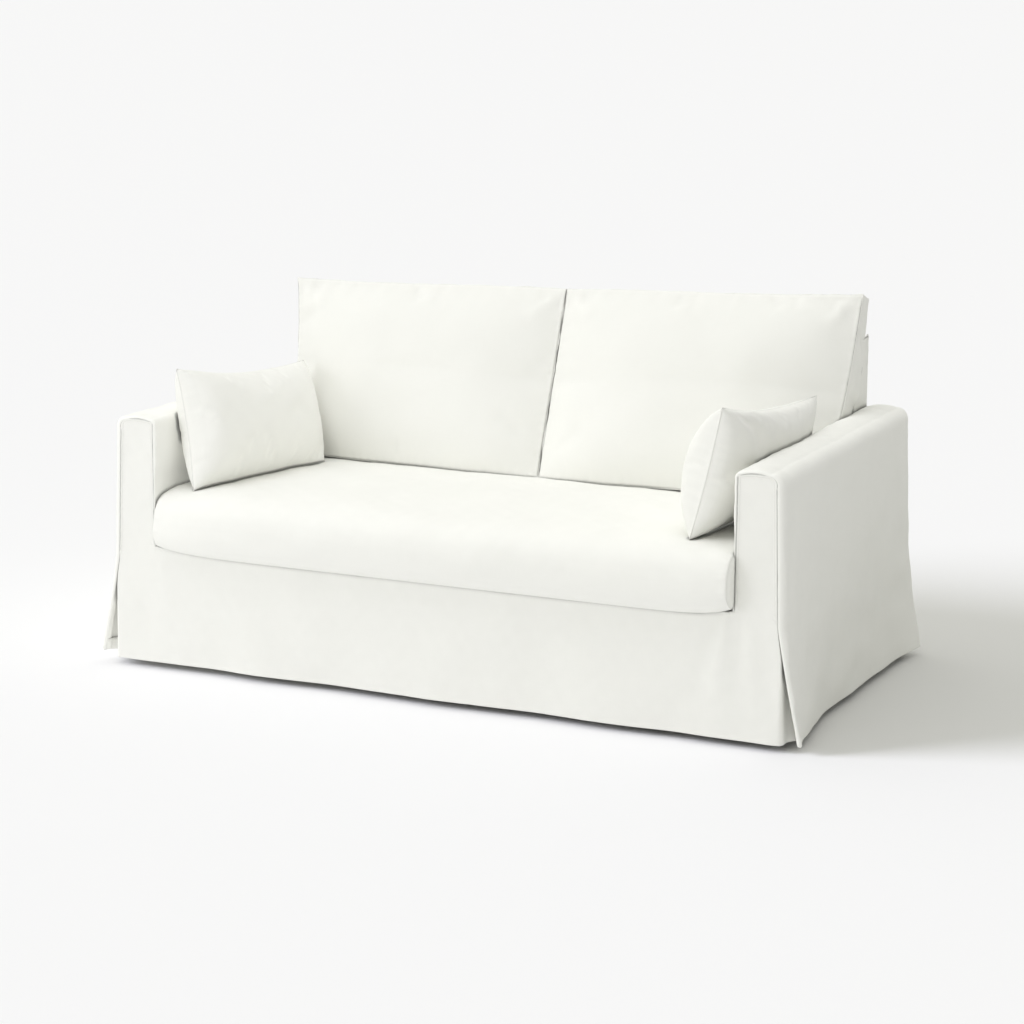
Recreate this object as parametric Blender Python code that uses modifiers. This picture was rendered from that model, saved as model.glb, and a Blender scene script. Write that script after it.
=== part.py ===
"""Fitted slipcover of a two-seat sofa, in heavy cotton, with its loose cushions.

The body cover is a hollow skin of cloth, open at the bottom. It has a U-shaped front panel, two side
panels that run over the arms, an outside back, an inside back with its top band, two back gussets and a
seat deck. Below VENT_TOP the side panels hang free at their front and rear corners, over the turned-back
ends of the front and back panels.

Everything is modelled in sofa coordinates: X across from the middle, Y from the front plane to the back
and Z up from the floor. Left and right are as seen from the front, so right is +X. An empty carries it
all to the part's frame, whose origin is under the middle of the top of the back, where the sofa's frame
holds the cover up.
"""

import math

import bmesh
import bpy
from mathutils import Vector

# Driving sizes of the body, in metres.
BODY_WIDTH = 1.80        # over the arm tops
BODY_DEPTH = 0.98
ARM_WIDTH = 0.105
ARM_TOP = 0.654          # at the long edges of the arm's top
ARM_CROWN = 0.006        # rise of the arm's top between them
ARM_EDGE_RADIUS = 0.018
BACK_TOP = 0.845
BACK_EDGE_RADIUS = 0.020
DECK_TOP = 0.328
SEAT_DEPTH = 0.80        # front plane to inside back, at the deck
BACK_LEAN = 0.193        # how far the inside back leans, for each metre up
HEM = 0.018              # hem above the floor
VENT_TOP = 0.30          # top of the open corners
SIDE_FLARE = 0.023       # how far each side has spread by the hem
FRONT_FLARE = 0.014
REAR_FLARE = 0.005

# Cloth.
CLOTH = 0.0025
GAP = 0.0004             # between pieces that are sewn together or touch
LINING_UP = CLOTH + GAP  # a piece that lies just inside another
HALF_INSIDE = BODY_WIDTH / 2 - ARM_WIDTH

# Turned-back ends of the front and back panels, behind the side flaps.
TURN_RADIUS_TOP = 0.004
TURN_RADIUS_HEM = 0.034
TURN_LENGTH = 0.085
TURN_CLEAR = 0.007       # extra room behind the flap by the hem
TURN_START = 0.03        # behind the panel's plane, where the end follows the flap fully

# How far the side panel's hem swings out, along the depth: share of the depth, metres.
HEM_SWING = (
    (0.00, 0.052),
    (0.05, 0.036),
    (0.15, 0.021),
    (0.26, 0.004),
    (0.50, 0.008),
    (0.72, 0.012),
    (0.88, 0.022),
    (0.96, 0.036),
    (1.00, 0.042),
)
SWING_POWER = 1.25       # how late the flare gathers, down from the top of the vents

# Bow of the front apron: share of the half width, metres out at the hem.
APRON_BOW = (
    (0.00, 0.008),
    (0.35, -0.002),
    (0.62, 0.006),
    (0.80, -0.001),
    (1.00, 0.003),
)
BOW_POWER = 1.5

# Seat cushion.
SEAT_HALF = 0.7925
SEAT_FRONT = -0.030
SEAT_REAR = 0.800
SEAT_BOTTOM = DECK_TOP + 0.001  # clear of the deck, which its soft edge would touch
SEAT_SEAM = 0.468        # height of its upper edge
SEAT_CROWN = 0.022
SEAT_SINK = 0.011        # how far it gives under the back cushions,
SEAT_SINK_START = 0.36   # from this depth
SEAT_SINK_END = 0.56     # to this one
SEAT_BELLY = 0.030       # how far its front rounds out,
SEAT_BELLY_EDGE = 0.4    # less this share along its upper and lower edges
SEAT_LIP = 0.022         # how far its front edge hangs below the deck
SEAT_LIFTED = -0.95      # the underside lifts here, over the front edge of the deck,
SEAT_LIFT = 0.30         # by this share of the lip

# Corners of the back cushions' front seams (across, depth, height): foot, then head, each from -X to +X.
BACK_CUSHIONS = {
    "left": (
        (-0.776, 0.640, 0.4784),
        (0.018, 0.646, 0.4784),
        (-0.812, 0.778, 0.936),
        (-0.006, 0.822, 0.944),
    ),
    "right": (
        (0.022, 0.646, 0.4784),
        (0.786, 0.662, 0.4784),
        (-0.002, 0.824, 0.944),
        (0.812, 0.862, 0.968),
    ),
}
BACK_CUSHION_EDGE = 0.104        # between its front and rear seams
BACK_CUSHION_CROWN = 0.062
BACK_CUSHION_FOOT_CROWN = 0.026  # further fullness low down
BACK_CUSHION_SLUMP = 0.072       # how far the middle of its foot has slid forward
BACK_CUSHION_DRAW = {    # how far its outer side draws in
    "left": 0.024,
    "right": 0.0,
}
BACK_CUSHION_REST = 0.055        # it clears the top of the back by this before it reaches over it
BACK_CUSHION_CLEAR = 0.019       # from the inside back
BACK_CUSHION_LOWEST = 0.4744     # where it stands on the seat cushion

# Corners of the arm cushions' seams: foot, then head, each from the front to the back.
ARM_CUSHIONS = {
    "left": (
        (-0.700, 0.030, 0.4725),
        (-0.600, 0.535, 0.4805),
        (-0.772, 0.080, 0.784),
        (-0.722, 0.640, 0.726),
    ),
    "right": (
        (0.662, 0.054, 0.474),
        (0.630, 0.540, 0.480),
        (0.732, 0.056, 0.795),
        (0.768, 0.634, 0.736),
    ),
}
ARM_CUSHION_SWELL = 0.062        # half its thickness in the middle
ARM_CUSHION_EDGE = 0.004         # half its thickness at the seam
ARM_CUSHION_DRAW = 0.016         # how far its edges draw in between the corners

# Loop cuts across the cushions' width, height or depth, and thickness: -1 to 1 from face to face.
SEAT_CUTS = (
    (-0.95, -0.60, -0.20, 0.20, 0.60, 0.95),
    (-0.96, -0.88, -0.45, 0.05, 0.55, 0.93),
    (-0.45, 0.45),
)
BACK_CUSHION_CUTS = (
    (-0.90, -0.45, 0.0, 0.45, 0.90),
    (-0.86, -0.40, 0.05, 0.50, 0.88),
    (0.0,),
)
ARM_CUSHION_CUTS = (
    (-0.80, -0.35, 0.35, 0.80),
    (-0.65, 0.0, 0.65),
    (),
)
ON_FACE = 0.99                   # a point beyond this lies on a face of the uncut box

# How sharp the cushions' seams stay when they are smoothed, 0 to 1.
SEAT_CREASE = 0.35
BACK_CUSHION_CREASE = 0.6
ARM_CUSHION_CREASE = 1.0

# How flat the crowns are: a higher power is flatter in the middle and falls later to the seams.
SEAT_POWER = 4.0
SEAT_EDGE_POWER = 6.0
SEAT_SINK_POWER = 8.0
BACK_CUSHION_POWER = 3.0
BACK_CUSHION_FOOT_POWER = 4.0
BACK_CUSHION_LOW_POWER = 7.0
ARM_CUSHION_POWER = 2.4
ARM_CUSHION_ROUNDING = 0.75      # under 1 makes it rise steeply from its seam

# Where the sofa's frame holds the cover: under the middle of the top of the back.
HOLD_DEPTH = 0.94
HOLD_HEIGHT = BACK_TOP - CLOTH

COTTON = (0.87, 0.87, 0.82, 1.0)
COTTON_ROUGHNESS = 0.9

ARM_HEIGHT = ARM_TOP + ARM_CROWN


# ---------------------------------------------------------------- helpers


def clear_scene():
    """Empty the file."""
    for thing in list(bpy.data.objects):
        bpy.data.objects.remove(thing, do_unlink=True)


def make_material(name):
    """Plain off-white cotton."""
    material = bpy.data.materials.new(name)
    material.use_nodes = True
    shader = material.node_tree.nodes["Principled BSDF"]
    shader.inputs["Base Color"].default_value = COTTON
    shader.inputs["Roughness"].default_value = COTTON_ROUGHNESS
    shader.inputs["Metallic"].default_value = 0.0
    return material


def mix(start, end, share):
    """Value a share of the way from start to end."""
    return start + (end - start) * share


def ease(share):
    """Smooth step from 0 to 1."""
    share = min(1.0, max(0.0, share))
    return share * share * (3.0 - 2.0 * share)


def read_table(table, place):
    """Smooth reading of a table of (place, value)."""
    for (low, low_value), (high, high_value) in zip(table, table[1:]):
        if place <= high:
            return mix(low_value, high_value, ease((place - low) / (high - low)))
    return table[-1][1]


def add_object(name, mesh, material, root):
    """Put a mesh in the scene as one smooth piece of the cover."""
    mesh.shade_smooth()
    piece = bpy.data.objects.new(name, mesh)
    piece.data.materials.append(material)
    piece.parent = root
    root.users_collection[0].objects.link(piece)
    return piece


def add_sheet(name, columns, rows, place, keep, material, root, mirror=False):
    """Sheet of cloth: a grid moved into shape by place(column, row), less the cells that keep() refuses.

    The grid is the sheet's outer face, and its thickness is laid behind it.
    """
    sheet = bmesh.new()
    bmesh.ops.create_grid(sheet, x_segments=columns, y_segments=rows, size=0.5)
    unwanted = []
    for face in sheet.faces:
        middle = face.calc_center_median()
        column = int((middle.x + 0.5) * columns)
        row = int((middle.y + 0.5) * rows)
        if not keep(column, row):
            unwanted.append(face)
    bmesh.ops.delete(sheet, geom=unwanted, context="FACES")
    for vertex in sheet.verts:
        column = round((vertex.co.x + 0.5) * columns)
        row = round((vertex.co.y + 0.5) * rows)
        vertex.co = place(column, row)
        if mirror:
            vertex.co.x = -vertex.co.x
    if mirror:
        bmesh.ops.reverse_faces(sheet, faces=sheet.faces[:])
    mesh = bpy.data.meshes.new(name)
    sheet.to_mesh(mesh)
    sheet.free()
    piece = add_object(name, mesh, material, root)
    solidify = piece.modifiers.new("cloth", "SOLIDIFY")
    solidify.thickness = CLOTH
    solidify.offset = -1.0
    solidify.use_even_offset = True
    return piece


def is_on_seam(place):
    """Whether a point of the uncut box lies round the edge of its two faces across w."""
    return abs(place.z) > ON_FACE and max(abs(place.x), abs(place.y)) > ON_FACE


def is_seam(edge):
    """Whether an edge of the uncut box runs along one of its two seams."""
    start, end = (vertex.co for vertex in edge.verts)
    return is_on_seam(start) and is_on_seam(end) and start.z * end.z > 0.0


def is_corner(place):
    """Whether a point is a corner of the uncut box."""
    return min(abs(value) for value in place) > ON_FACE


def add_cushion(name, cuts, place, crease, material, root):
    """Filled cushion: a box with loop cuts, moved into shape by place(u, v, w), then subdivided once.

    u, v and w run from -1 to 1, and cuts holds the loop cuts across each of them. The seams round the two
    faces across w, and their corners, are creased so that they keep their place.
    """
    cage = bmesh.new()
    bmesh.ops.create_cube(cage, size=2.0)
    for axis, places in enumerate(cuts):
        for cut in places:
            normal = Vector((0.0, 0.0, 0.0))
            normal[axis] = 1.0
            everything = cage.verts[:] + cage.edges[:] + cage.faces[:]
            bmesh.ops.bisect_plane(cage, geom=everything, plane_co=normal * cut, plane_no=normal)
    edge_crease = cage.edges.layers.float.new("crease_edge")
    corner_crease = cage.verts.layers.float.new("crease_vert")
    for edge in cage.edges:
        if is_seam(edge):
            edge[edge_crease] = crease
    for vertex in cage.verts:
        if is_corner(vertex.co):
            vertex[corner_crease] = crease
    for vertex in cage.verts:
        vertex.co = place(*vertex.co)
    if cage.calc_volume(signed=True) < 0.0:
        bmesh.ops.reverse_faces(cage, faces=cage.faces[:])
    mesh = bpy.data.meshes.new(name)
    cage.to_mesh(mesh)
    cage.free()
    piece = add_object(name, mesh, material, root)
    soften = piece.modifiers.new("soften", "SUBSURF")
    soften.levels = 1
    soften.render_levels = 1
    return piece


# ---------------------------------------------------------------- the body's planes


def spread(height):
    """0 at the arm's top and 1 at the floor: how far down the flare has run."""
    return max(0.0, (ARM_HEIGHT - height) / ARM_HEIGHT)


def front_plane(height):
    """Depth of the front panel at a height."""
    return -FRONT_FLARE * spread(height)


def rear_plane(height):
    """Depth of the outside back at a height."""
    return BODY_DEPTH + REAR_FLARE * spread(height)


def side_plane(height):
    """How far the side panel's plane lies from the middle at a height."""
    return BODY_WIDTH / 2 + SIDE_FLARE * spread(height)


def inside_back_plane(height):
    """Depth of the leaning face of the back at a height."""
    return SEAT_DEPTH + BACK_LEAN * (height - DECK_TOP)


def drop(height):
    """0 at the top of the vents and 1 at the hem."""
    return max(0.0, (VENT_TOP - height) / (VENT_TOP - HEM))


def hem_swing(share, height):
    """How far a side panel swings out from its plane."""
    return read_table(HEM_SWING, share) * drop(height) ** SWING_POWER


# ---------------------------------------------------------------- arms

# Heights of the rows of the panels, from the hem to the arm's edge.
SKIRT_ROWS = (HEM, 0.07, 0.14, 0.22, VENT_TOP)
ARM_ROWS = (0.43, 0.54)
ARM_ARC_STEPS = 3
ARM_TOP_STEPS = 4
# Places of the side panel's columns along the depth.
SIDE_COLUMNS = (0.0, 0.035, 0.08, 0.13, 0.19, 0.26, 0.38, 0.50, 0.65, 0.80, 0.885, 0.935, 0.97, 1.0)
BACK_COLUMN = 10         # the one that follows the inside back


def arm_outline(inset):
    """Cross-section of an arm, from the foot of its inner face over the top to the hem, a little inside."""
    inner = HALF_INSIDE + inset
    outer = BODY_WIDTH / 2 - inset
    radius = ARM_EDGE_RADIUS - inset
    turn_height = ARM_TOP - inset - radius
    points = [(inner, DECK_TOP - CLOTH)]
    points += [(inner, height) for height in ARM_ROWS]
    for step in range(ARM_ARC_STEPS + 1):
        angle = math.pi / 2 * step / ARM_ARC_STEPS
        points.append((inner + radius - radius * math.cos(angle), turn_height + radius * math.sin(angle)))
    for step in range(1, ARM_TOP_STEPS):
        share = step / ARM_TOP_STEPS
        rise = ARM_CROWN * (1.0 - (2.0 * share - 1.0) ** 2)
        points.append((mix(inner + radius, outer - radius, share), ARM_TOP - inset + rise))
    for step in range(ARM_ARC_STEPS + 1):
        angle = math.pi / 2 * step / ARM_ARC_STEPS
        points.append((outer - radius + radius * math.sin(angle), turn_height + radius * math.cos(angle)))
    for height in reversed(SKIRT_ROWS + ARM_ROWS):
        points.append((side_plane(height) - inset, height))
    return points


OUTLINE = arm_outline(0.0)
INNER_ROWS = 1 + len(ARM_ROWS)
TOP_START = INNER_ROWS + ARM_ARC_STEPS
TOP_END = TOP_START + ARM_TOP_STEPS


def side_panel_point(row, column):
    """Outer face of a side panel, for the arm at +X."""
    across, height = OUTLINE[row]
    share = SIDE_COLUMNS[column]
    depth = mix(front_plane(height), rear_plane(height), share)
    if column == BACK_COLUMN and row < TOP_START:
        depth = inside_back_plane(height) - GAP
    if row > TOP_END:
        swing = hem_swing(share, height)
        across += swing
        height += swing * swing / (2.0 * (VENT_TOP - HEM))
    return Vector((across, depth, height))


def keep_side_cell(row, column):
    """The inside of the arm stops at the inside back."""
    return column < BACK_COLUMN or row >= INNER_ROWS


def add_side_panel(side, material, root):
    add_sheet(
        "side_panel_" + side,
        len(OUTLINE) - 1,
        len(SIDE_COLUMNS) - 1,
        side_panel_point,
        keep_side_cell,
        material,
        root,
        mirror=(side == "left"),
    )


# ---------------------------------------------------------------- front and back panels

CENTRE_STEPS = (0.0, 0.2, 0.4, 0.6, 0.8)
TURN_ARC_STEPS = 3
TURN_STEPS = 2
ARM_START = len(CENTRE_STEPS)
ARM_END = ARM_START + ARM_TOP_STEPS
PANEL_COLUMNS = ARM_END + TURN_ARC_STEPS + TURN_STEPS
VENT_ROW = len(SKIRT_ROWS) - 1
APRON_ROW = len(SKIRT_ROWS) + 1
VENT_LAP = 0.002         # a row of cells this high closes the top of each vent
PANEL_ROWS = SKIRT_ROWS + (VENT_TOP + VENT_LAP, DECK_TOP - LINING_UP) + ARM_ROWS
ARM_EDGE_ROW = len(PANEL_ROWS)
ARM_TOP_ROW = ARM_EDGE_ROW + ARM_ARC_STEPS
INSET_OUTLINE = arm_outline(LINING_UP)


def turn_radius(height):
    """Radius of the soft fold where a panel turns back behind the flap."""
    return mix(TURN_RADIUS_TOP, TURN_RADIUS_HEM, drop(height))


def panel_row(row):
    """Inner edge, outer edge and height of the arm part of a front or back panel."""
    if row >= ARM_EDGE_ROW:
        step = row - ARM_EDGE_ROW
        inner, height = INSET_OUTLINE[INNER_ROWS + step]
        outer = INSET_OUTLINE[TOP_END + ARM_ARC_STEPS - step][0]
        return inner, outer, height
    height = PANEL_ROWS[row]
    outer = side_plane(height) - LINING_UP
    if row <= VENT_ROW:
        outer -= turn_radius(height)
    return HALF_INSIDE + LINING_UP, outer, height


def turned_end(column, height, outer):
    """Plan of the turned-back end of a panel: how far across, and how far behind the panel's own plane."""
    radius = turn_radius(height)
    steps = column - ARM_END
    if steps <= TURN_ARC_STEPS:
        angle = math.pi / 2 * steps / TURN_ARC_STEPS
        across = outer + radius * math.sin(angle)
        behind = radius * (1.0 - math.cos(angle))
    else:
        across = outer + radius
        behind = radius + (TURN_LENGTH - radius) * (steps - TURN_ARC_STEPS) / TURN_STEPS
    room = hem_swing(behind / BODY_DEPTH, height) - TURN_CLEAR * drop(height)
    return across + ease(behind / TURN_START) * max(0.0, room), behind


def corner_panel_point(column, row, plane, inward, bow):
    """The right half of a front or back panel, up to the arm's top.

    inward is +1 where the sofa lies behind the panel, towards +Y, and -1 where it lies towards -Y.
    """
    inner, outer, height = panel_row(row)
    if column < ARM_START:
        across = CENTRE_STEPS[column] * inner
        behind = 0.0
    elif column <= ARM_END:
        share = (column - ARM_START) / ARM_TOP_STEPS
        across = mix(inner, outer, share)
        behind = 0.0
        if row == ARM_TOP_ROW:
            height += ARM_CROWN * (1.0 - (2.0 * share - 1.0) ** 2)
    else:
        across, behind = turned_end(column, height, outer)
    out = read_table(bow, min(1.0, across / HALF_INSIDE)) * drop(height) ** BOW_POWER
    return Vector((across, plane(height) + inward * (behind - out), height))


def front_panel_point(column, row):
    """The front panel runs over both halves, its columns counted from the left end."""
    half = column - PANEL_COLUMNS
    point = corner_panel_point(abs(half), row, front_plane, 1.0, APRON_BOW)
    if half < 0:
        point.x = -point.x
    return point


def keep_front_cell(column, row):
    """A U: the gap between the arms is open above the apron, and the turned ends stop at the vents."""
    half = column - PANEL_COLUMNS
    if half < 0:
        half = -1 - half
    if half < ARM_START:
        return row < APRON_ROW
    if half >= ARM_END:
        return row < VENT_ROW
    return True


def add_front_panel(material, root):
    add_sheet(
        "front_panel",
        2 * PANEL_COLUMNS,
        ARM_TOP_ROW,
        front_panel_point,
        keep_front_cell,
        material,
        root,
    )


# The outside back has one more column, just inside the gussets, and rises between them.
GUSSET_FACE = HALF_INSIDE - GAP
UPPER_EDGE = GUSSET_FACE - LINING_UP
SLIT_DROP = 0.0015       # room under the gussets and arms where they end
UPPER_ROWS = (0.72, 0.785, BACK_TOP - LINING_UP)
FLAT = ((0.0, 0.0), (1.0, 0.0))


def back_panel_point(column, row):
    """The outside back, its columns counted from the left end."""
    half = column - PANEL_COLUMNS - 1
    size = abs(half)
    if row > ARM_TOP_ROW:
        height = UPPER_ROWS[row - ARM_TOP_ROW - 1]
        across = min(1.0, size / ARM_START) * UPPER_EDGE
        point = Vector((across, rear_plane(height), height))
    elif size <= ARM_START:
        height = panel_row(row)[2]
        across = UPPER_EDGE * size / ARM_START
        point = Vector((across, rear_plane(height), height))
    else:
        point = corner_panel_point(size - 1, row, rear_plane, -1.0, FLAT)
    if row == ARM_EDGE_ROW and size <= ARM_START + 1:
        point.z -= SLIT_DROP
    if half < 0:
        point.x = -point.x
    return point


def keep_back_cell(column, row):
    """Open beside the gussets above the arms, and above the vents round the corners."""
    half = column - PANEL_COLUMNS - 1
    if half < 0:
        half = -1 - half
    if half < ARM_START:
        return True
    if half == ARM_START:
        return row < ARM_EDGE_ROW
    if half > ARM_END:
        return row < VENT_ROW
    return row < ARM_TOP_ROW


def add_back_panel(material, root):
    panel = add_sheet(
        "back_panel",
        2 * PANEL_COLUMNS + 2,
        ARM_TOP_ROW + len(UPPER_ROWS),
        back_panel_point,
        keep_back_cell,
        material,
        root,
    )
    panel.data.flip_normals()


# ---------------------------------------------------------------- back, gussets and deck

GUSSET_FOOT = ARM_TOP - ARM_EDGE_RADIUS
GUSSET_MIDDLE = 0.73
STEP_IN = 0.002          # the inside back narrows within this height, just under the gussets
BACK_ARC_STEPS = 3
INSIDE_BACK_ROWS = (
    DECK_TOP - CLOTH,
    0.44,
    0.54,
    GUSSET_FOOT - STEP_IN,
    GUSSET_FOOT - GAP,
    GUSSET_MIDDLE,
)
GUSSET_ROWS = (GUSSET_FOOT, GUSSET_MIDDLE)
BACK_STRIPS = 8
GUSSET_STRIPS = 2


def back_edge_arc(step):
    """Depth and height along the rounded front edge of the top of the back, seen from the side."""
    turn_height = BACK_TOP - BACK_EDGE_RADIUS
    angle = math.pi / 2 * step / BACK_ARC_STEPS
    depth = inside_back_plane(turn_height) + BACK_EDGE_RADIUS * (1.0 - math.cos(angle))
    return depth, turn_height + BACK_EDGE_RADIUS * math.sin(angle)


def inside_back_point(column, row):
    """Up the front of the back, round its top edge and over to the rear seam."""
    if row < len(INSIDE_BACK_ROWS):
        height = INSIDE_BACK_ROWS[row]
        depth = inside_back_plane(height)
    elif row <= len(INSIDE_BACK_ROWS) + BACK_ARC_STEPS:
        depth, height = back_edge_arc(row - len(INSIDE_BACK_ROWS))
    else:
        depth = rear_plane(BACK_TOP)
        height = BACK_TOP
    edge = UPPER_EDGE if height > GUSSET_FOOT - STEP_IN / 2 else GUSSET_FACE
    return Vector((mix(-edge, edge, column / BACK_STRIPS), depth, height))


def add_inside_back(material, root):
    rows = len(INSIDE_BACK_ROWS) + BACK_ARC_STEPS + 1
    add_sheet("inside_back", BACK_STRIPS, rows, inside_back_point, lambda column, row: True, material, root)


def gusset_point(column, row):
    """The right side of the back: its columns run from the inside back to the rear."""
    if row < len(GUSSET_ROWS):
        height = GUSSET_ROWS[row]
        front = inside_back_plane(height)
    else:
        front, height = back_edge_arc(row - len(GUSSET_ROWS))
    return Vector((GUSSET_FACE, mix(front, rear_plane(height), column / GUSSET_STRIPS), height))


def add_gusset(side, material, root):
    add_sheet(
        "back_gusset_" + side,
        GUSSET_STRIPS,
        len(GUSSET_ROWS) + BACK_ARC_STEPS,
        gusset_point,
        lambda column, row: True,
        material,
        root,
        mirror=(side == "left"),
    )


def deck_point(column, row):
    """The flat platform under the seat cushion."""
    depth = (front_plane(DECK_TOP), inside_back_plane(DECK_TOP - CLOTH) - GAP)[row]
    return Vector((mix(-GUSSET_FACE, GUSSET_FACE, column), depth, DECK_TOP))


def add_seat_deck(material, root):
    add_sheet("seat_deck", 1, 1, deck_point, lambda column, row: True, material, root)


# ---------------------------------------------------------------- cushions


def pillow(u, v, power):
    """Crown of a cushion's face: 1 in the middle and 0 along the edges."""
    return (1.0 - abs(u) ** power) * (1.0 - abs(v) ** power)


def patch(corners, u, v):
    """Point between four corners: foot start, foot end, head start, head end."""
    foot_start, foot_end, head_start, head_end = (Vector(corner) for corner in corners)
    across = (u + 1.0) / 2
    return foot_start.lerp(foot_end, across).lerp(head_start.lerp(head_end, across), (v + 1.0) / 2)


def patch_axes(corners):
    """Unit vectors along a patch, up it and square to it."""
    along = (patch(corners, 1.0, 0.0) - patch(corners, -1.0, 0.0)).normalized()
    up = (patch(corners, 0.0, 1.0) - patch(corners, 0.0, -1.0)).normalized()
    return along, up, along.cross(up).normalized()


def seat_cushion_point(u, v, w):
    """u runs across, v from the front to the back and w up."""
    across = SEAT_HALF * u
    depth = mix(SEAT_FRONT, SEAT_REAR, (v + 1.0) / 2)
    height = mix(SEAT_BOTTOM, SEAT_SEAM, (w + 1.0) / 2)
    side_pull = 1.0 - abs(u) ** SEAT_EDGE_POWER
    if v < -ON_FACE:
        depth -= SEAT_BELLY * side_pull * (1.0 - SEAT_BELLY_EDGE * w * w)
    if w > ON_FACE:
        sunk = ease((depth - SEAT_SINK_START) / (SEAT_SINK_END - SEAT_SINK_START))
        height += SEAT_CROWN * pillow(u, v, SEAT_POWER)
        height -= SEAT_SINK * sunk * (1.0 - abs(v) ** SEAT_SINK_POWER)
    if w < -ON_FACE and v < -ON_FACE:
        height -= SEAT_LIP * side_pull
    elif w < -ON_FACE and v < SEAT_LIFTED:
        height += SEAT_LIP * SEAT_LIFT
    return Vector((across, depth, height))


def add_seat_cushion(material, root):
    add_cushion("seat_cushion", SEAT_CUTS, seat_cushion_point, SEAT_CREASE, material, root)


def back_cushion_point(side, u, v, w):
    """u runs across, v up the cushion and w from its front to its rear."""
    corners = BACK_CUSHIONS[side]
    along, up, forward = patch_axes(corners)
    point = patch(corners, u, v)
    outer_share = ((1.0 - u) if side == "left" else (1.0 + u)) / 2
    point -= along * (BACK_CUSHION_DRAW[side] * u * outer_share * (1.0 - v * v))
    point -= forward * (BACK_CUSHION_EDGE * (w + 1.0) / 2)
    middle_share = 1.0 - abs(u) ** BACK_CUSHION_FOOT_POWER
    point.y -= BACK_CUSHION_SLUMP * middle_share * ((1.0 - v) / 2) ** 3 * (1.0 - w) / 2
    if w < -ON_FACE:
        fullness = BACK_CUSHION_CROWN * pillow(u, v, BACK_CUSHION_POWER)
        low_share = max(0.0, -v) * (1.0 - abs(v) ** BACK_CUSHION_LOW_POWER)
        fullness += BACK_CUSHION_FOOT_CROWN * middle_share * low_share
        point += forward * fullness
    if point.z < BACK_TOP + BACK_CUSHION_REST:
        point.y = min(point.y, inside_back_plane(point.z) - BACK_CUSHION_CLEAR)
    point.z = max(point.z, BACK_CUSHION_LOWEST)
    return point


def add_back_cushion(side, material, root):
    add_cushion(
        "back_cushion_" + side,
        BACK_CUSHION_CUTS,
        lambda u, v, w: back_cushion_point(side, u, v, w),
        BACK_CUSHION_CREASE,
        material,
        root,
    )


def arm_cushion_point(corners, u, v, w):
    """u runs from its front end to its rear end, v up it and w across it."""
    along, up, square = patch_axes(corners)
    point = patch(corners, u, v)
    point -= up * (ARM_CUSHION_DRAW * v * (1.0 - u * u))
    point -= along * (ARM_CUSHION_DRAW * u * (1.0 - v * v))
    swell = pillow(u, v, ARM_CUSHION_POWER) ** ARM_CUSHION_ROUNDING
    point -= square * (w * (ARM_CUSHION_EDGE + ARM_CUSHION_SWELL * swell))
    return point


def add_arm_cushion(side, material, root):
    corners = ARM_CUSHIONS[side]
    add_cushion(
        "arm_cushion_" + side,
        ARM_CUSHION_CUTS,
        lambda u, v, w: arm_cushion_point(corners, u, v, w),
        ARM_CUSHION_CREASE,
        material,
        root,
    )


# ---------------------------------------------------------------- assembly


def build():
    clear_scene()
    collection = bpy.data.collections.new("sofa_slipcover")
    bpy.context.scene.collection.children.link(collection)
    root = bpy.data.objects.new("frame_of_the_cover", None)
    root.location = (0.0, -HOLD_DEPTH, -HOLD_HEIGHT)
    collection.objects.link(root)
    cover_cloth = make_material("cover_cloth")
    cushion_cloth = make_material("cushion_cloth")

    add_front_panel(cover_cloth, root)
    add_back_panel(cover_cloth, root)
    add_inside_back(cover_cloth, root)
    add_seat_deck(cover_cloth, root)
    add_seat_cushion(cushion_cloth, root)
    for side in ("left", "right"):
        add_side_panel(side, cover_cloth, root)
        add_gusset(side, cover_cloth, root)
        add_back_cushion(side, cushion_cloth, root)
        add_arm_cushion(side, cushion_cloth, root)


build()
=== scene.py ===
"""Looks of the sofa slipcover: fine cloth, seams, stitching and filled cushions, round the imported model.

Shapes are worked out in sofa coordinates, in metres: X across from the middle, Y from the front plane to the
back, Z up from the floor. Left and right are as seen from the front, so right is +X. SOFA_TO_PART moves them
into the part's frame.
"""

import math

import bmesh
import bpy
import numpy as np
from mathutils import Matrix, Vector


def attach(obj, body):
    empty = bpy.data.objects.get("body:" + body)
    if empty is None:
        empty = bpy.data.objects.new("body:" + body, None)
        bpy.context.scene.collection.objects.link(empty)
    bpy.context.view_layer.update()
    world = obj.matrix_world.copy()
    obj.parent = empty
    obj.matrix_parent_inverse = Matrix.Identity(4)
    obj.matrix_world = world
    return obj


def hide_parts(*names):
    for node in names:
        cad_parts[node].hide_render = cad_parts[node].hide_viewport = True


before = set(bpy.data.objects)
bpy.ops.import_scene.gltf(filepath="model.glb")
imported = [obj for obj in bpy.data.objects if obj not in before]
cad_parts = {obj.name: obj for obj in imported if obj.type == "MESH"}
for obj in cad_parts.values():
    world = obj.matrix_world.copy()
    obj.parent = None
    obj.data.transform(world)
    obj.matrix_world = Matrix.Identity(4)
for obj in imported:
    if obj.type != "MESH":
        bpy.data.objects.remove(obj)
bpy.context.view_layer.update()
BODY = "root"
SOFA_TO_PART = np.array((0.0, -0.94, -0.8425))

# Driving sizes, as the CAD has them.
BODY_WIDTH = 1.80
BODY_DEPTH = 0.98
ARM_WIDTH = 0.105
ARM_TOP = 0.654
ARM_CROWN = 0.006
ARM_HEIGHT = ARM_TOP + ARM_CROWN
BACK_TOP = 0.845
DECK_TOP = 0.328
SEAT_DEPTH = 0.80
BACK_LEAN = 0.193
HEM = 0.018
VENT_TOP = 0.30
SIDE_FLARE = 0.023
FRONT_FLARE = 0.014
REAR_FLARE = 0.005
HALF_BODY = BODY_WIDTH / 2
HALF_INSIDE = HALF_BODY - ARM_WIDTH

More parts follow.
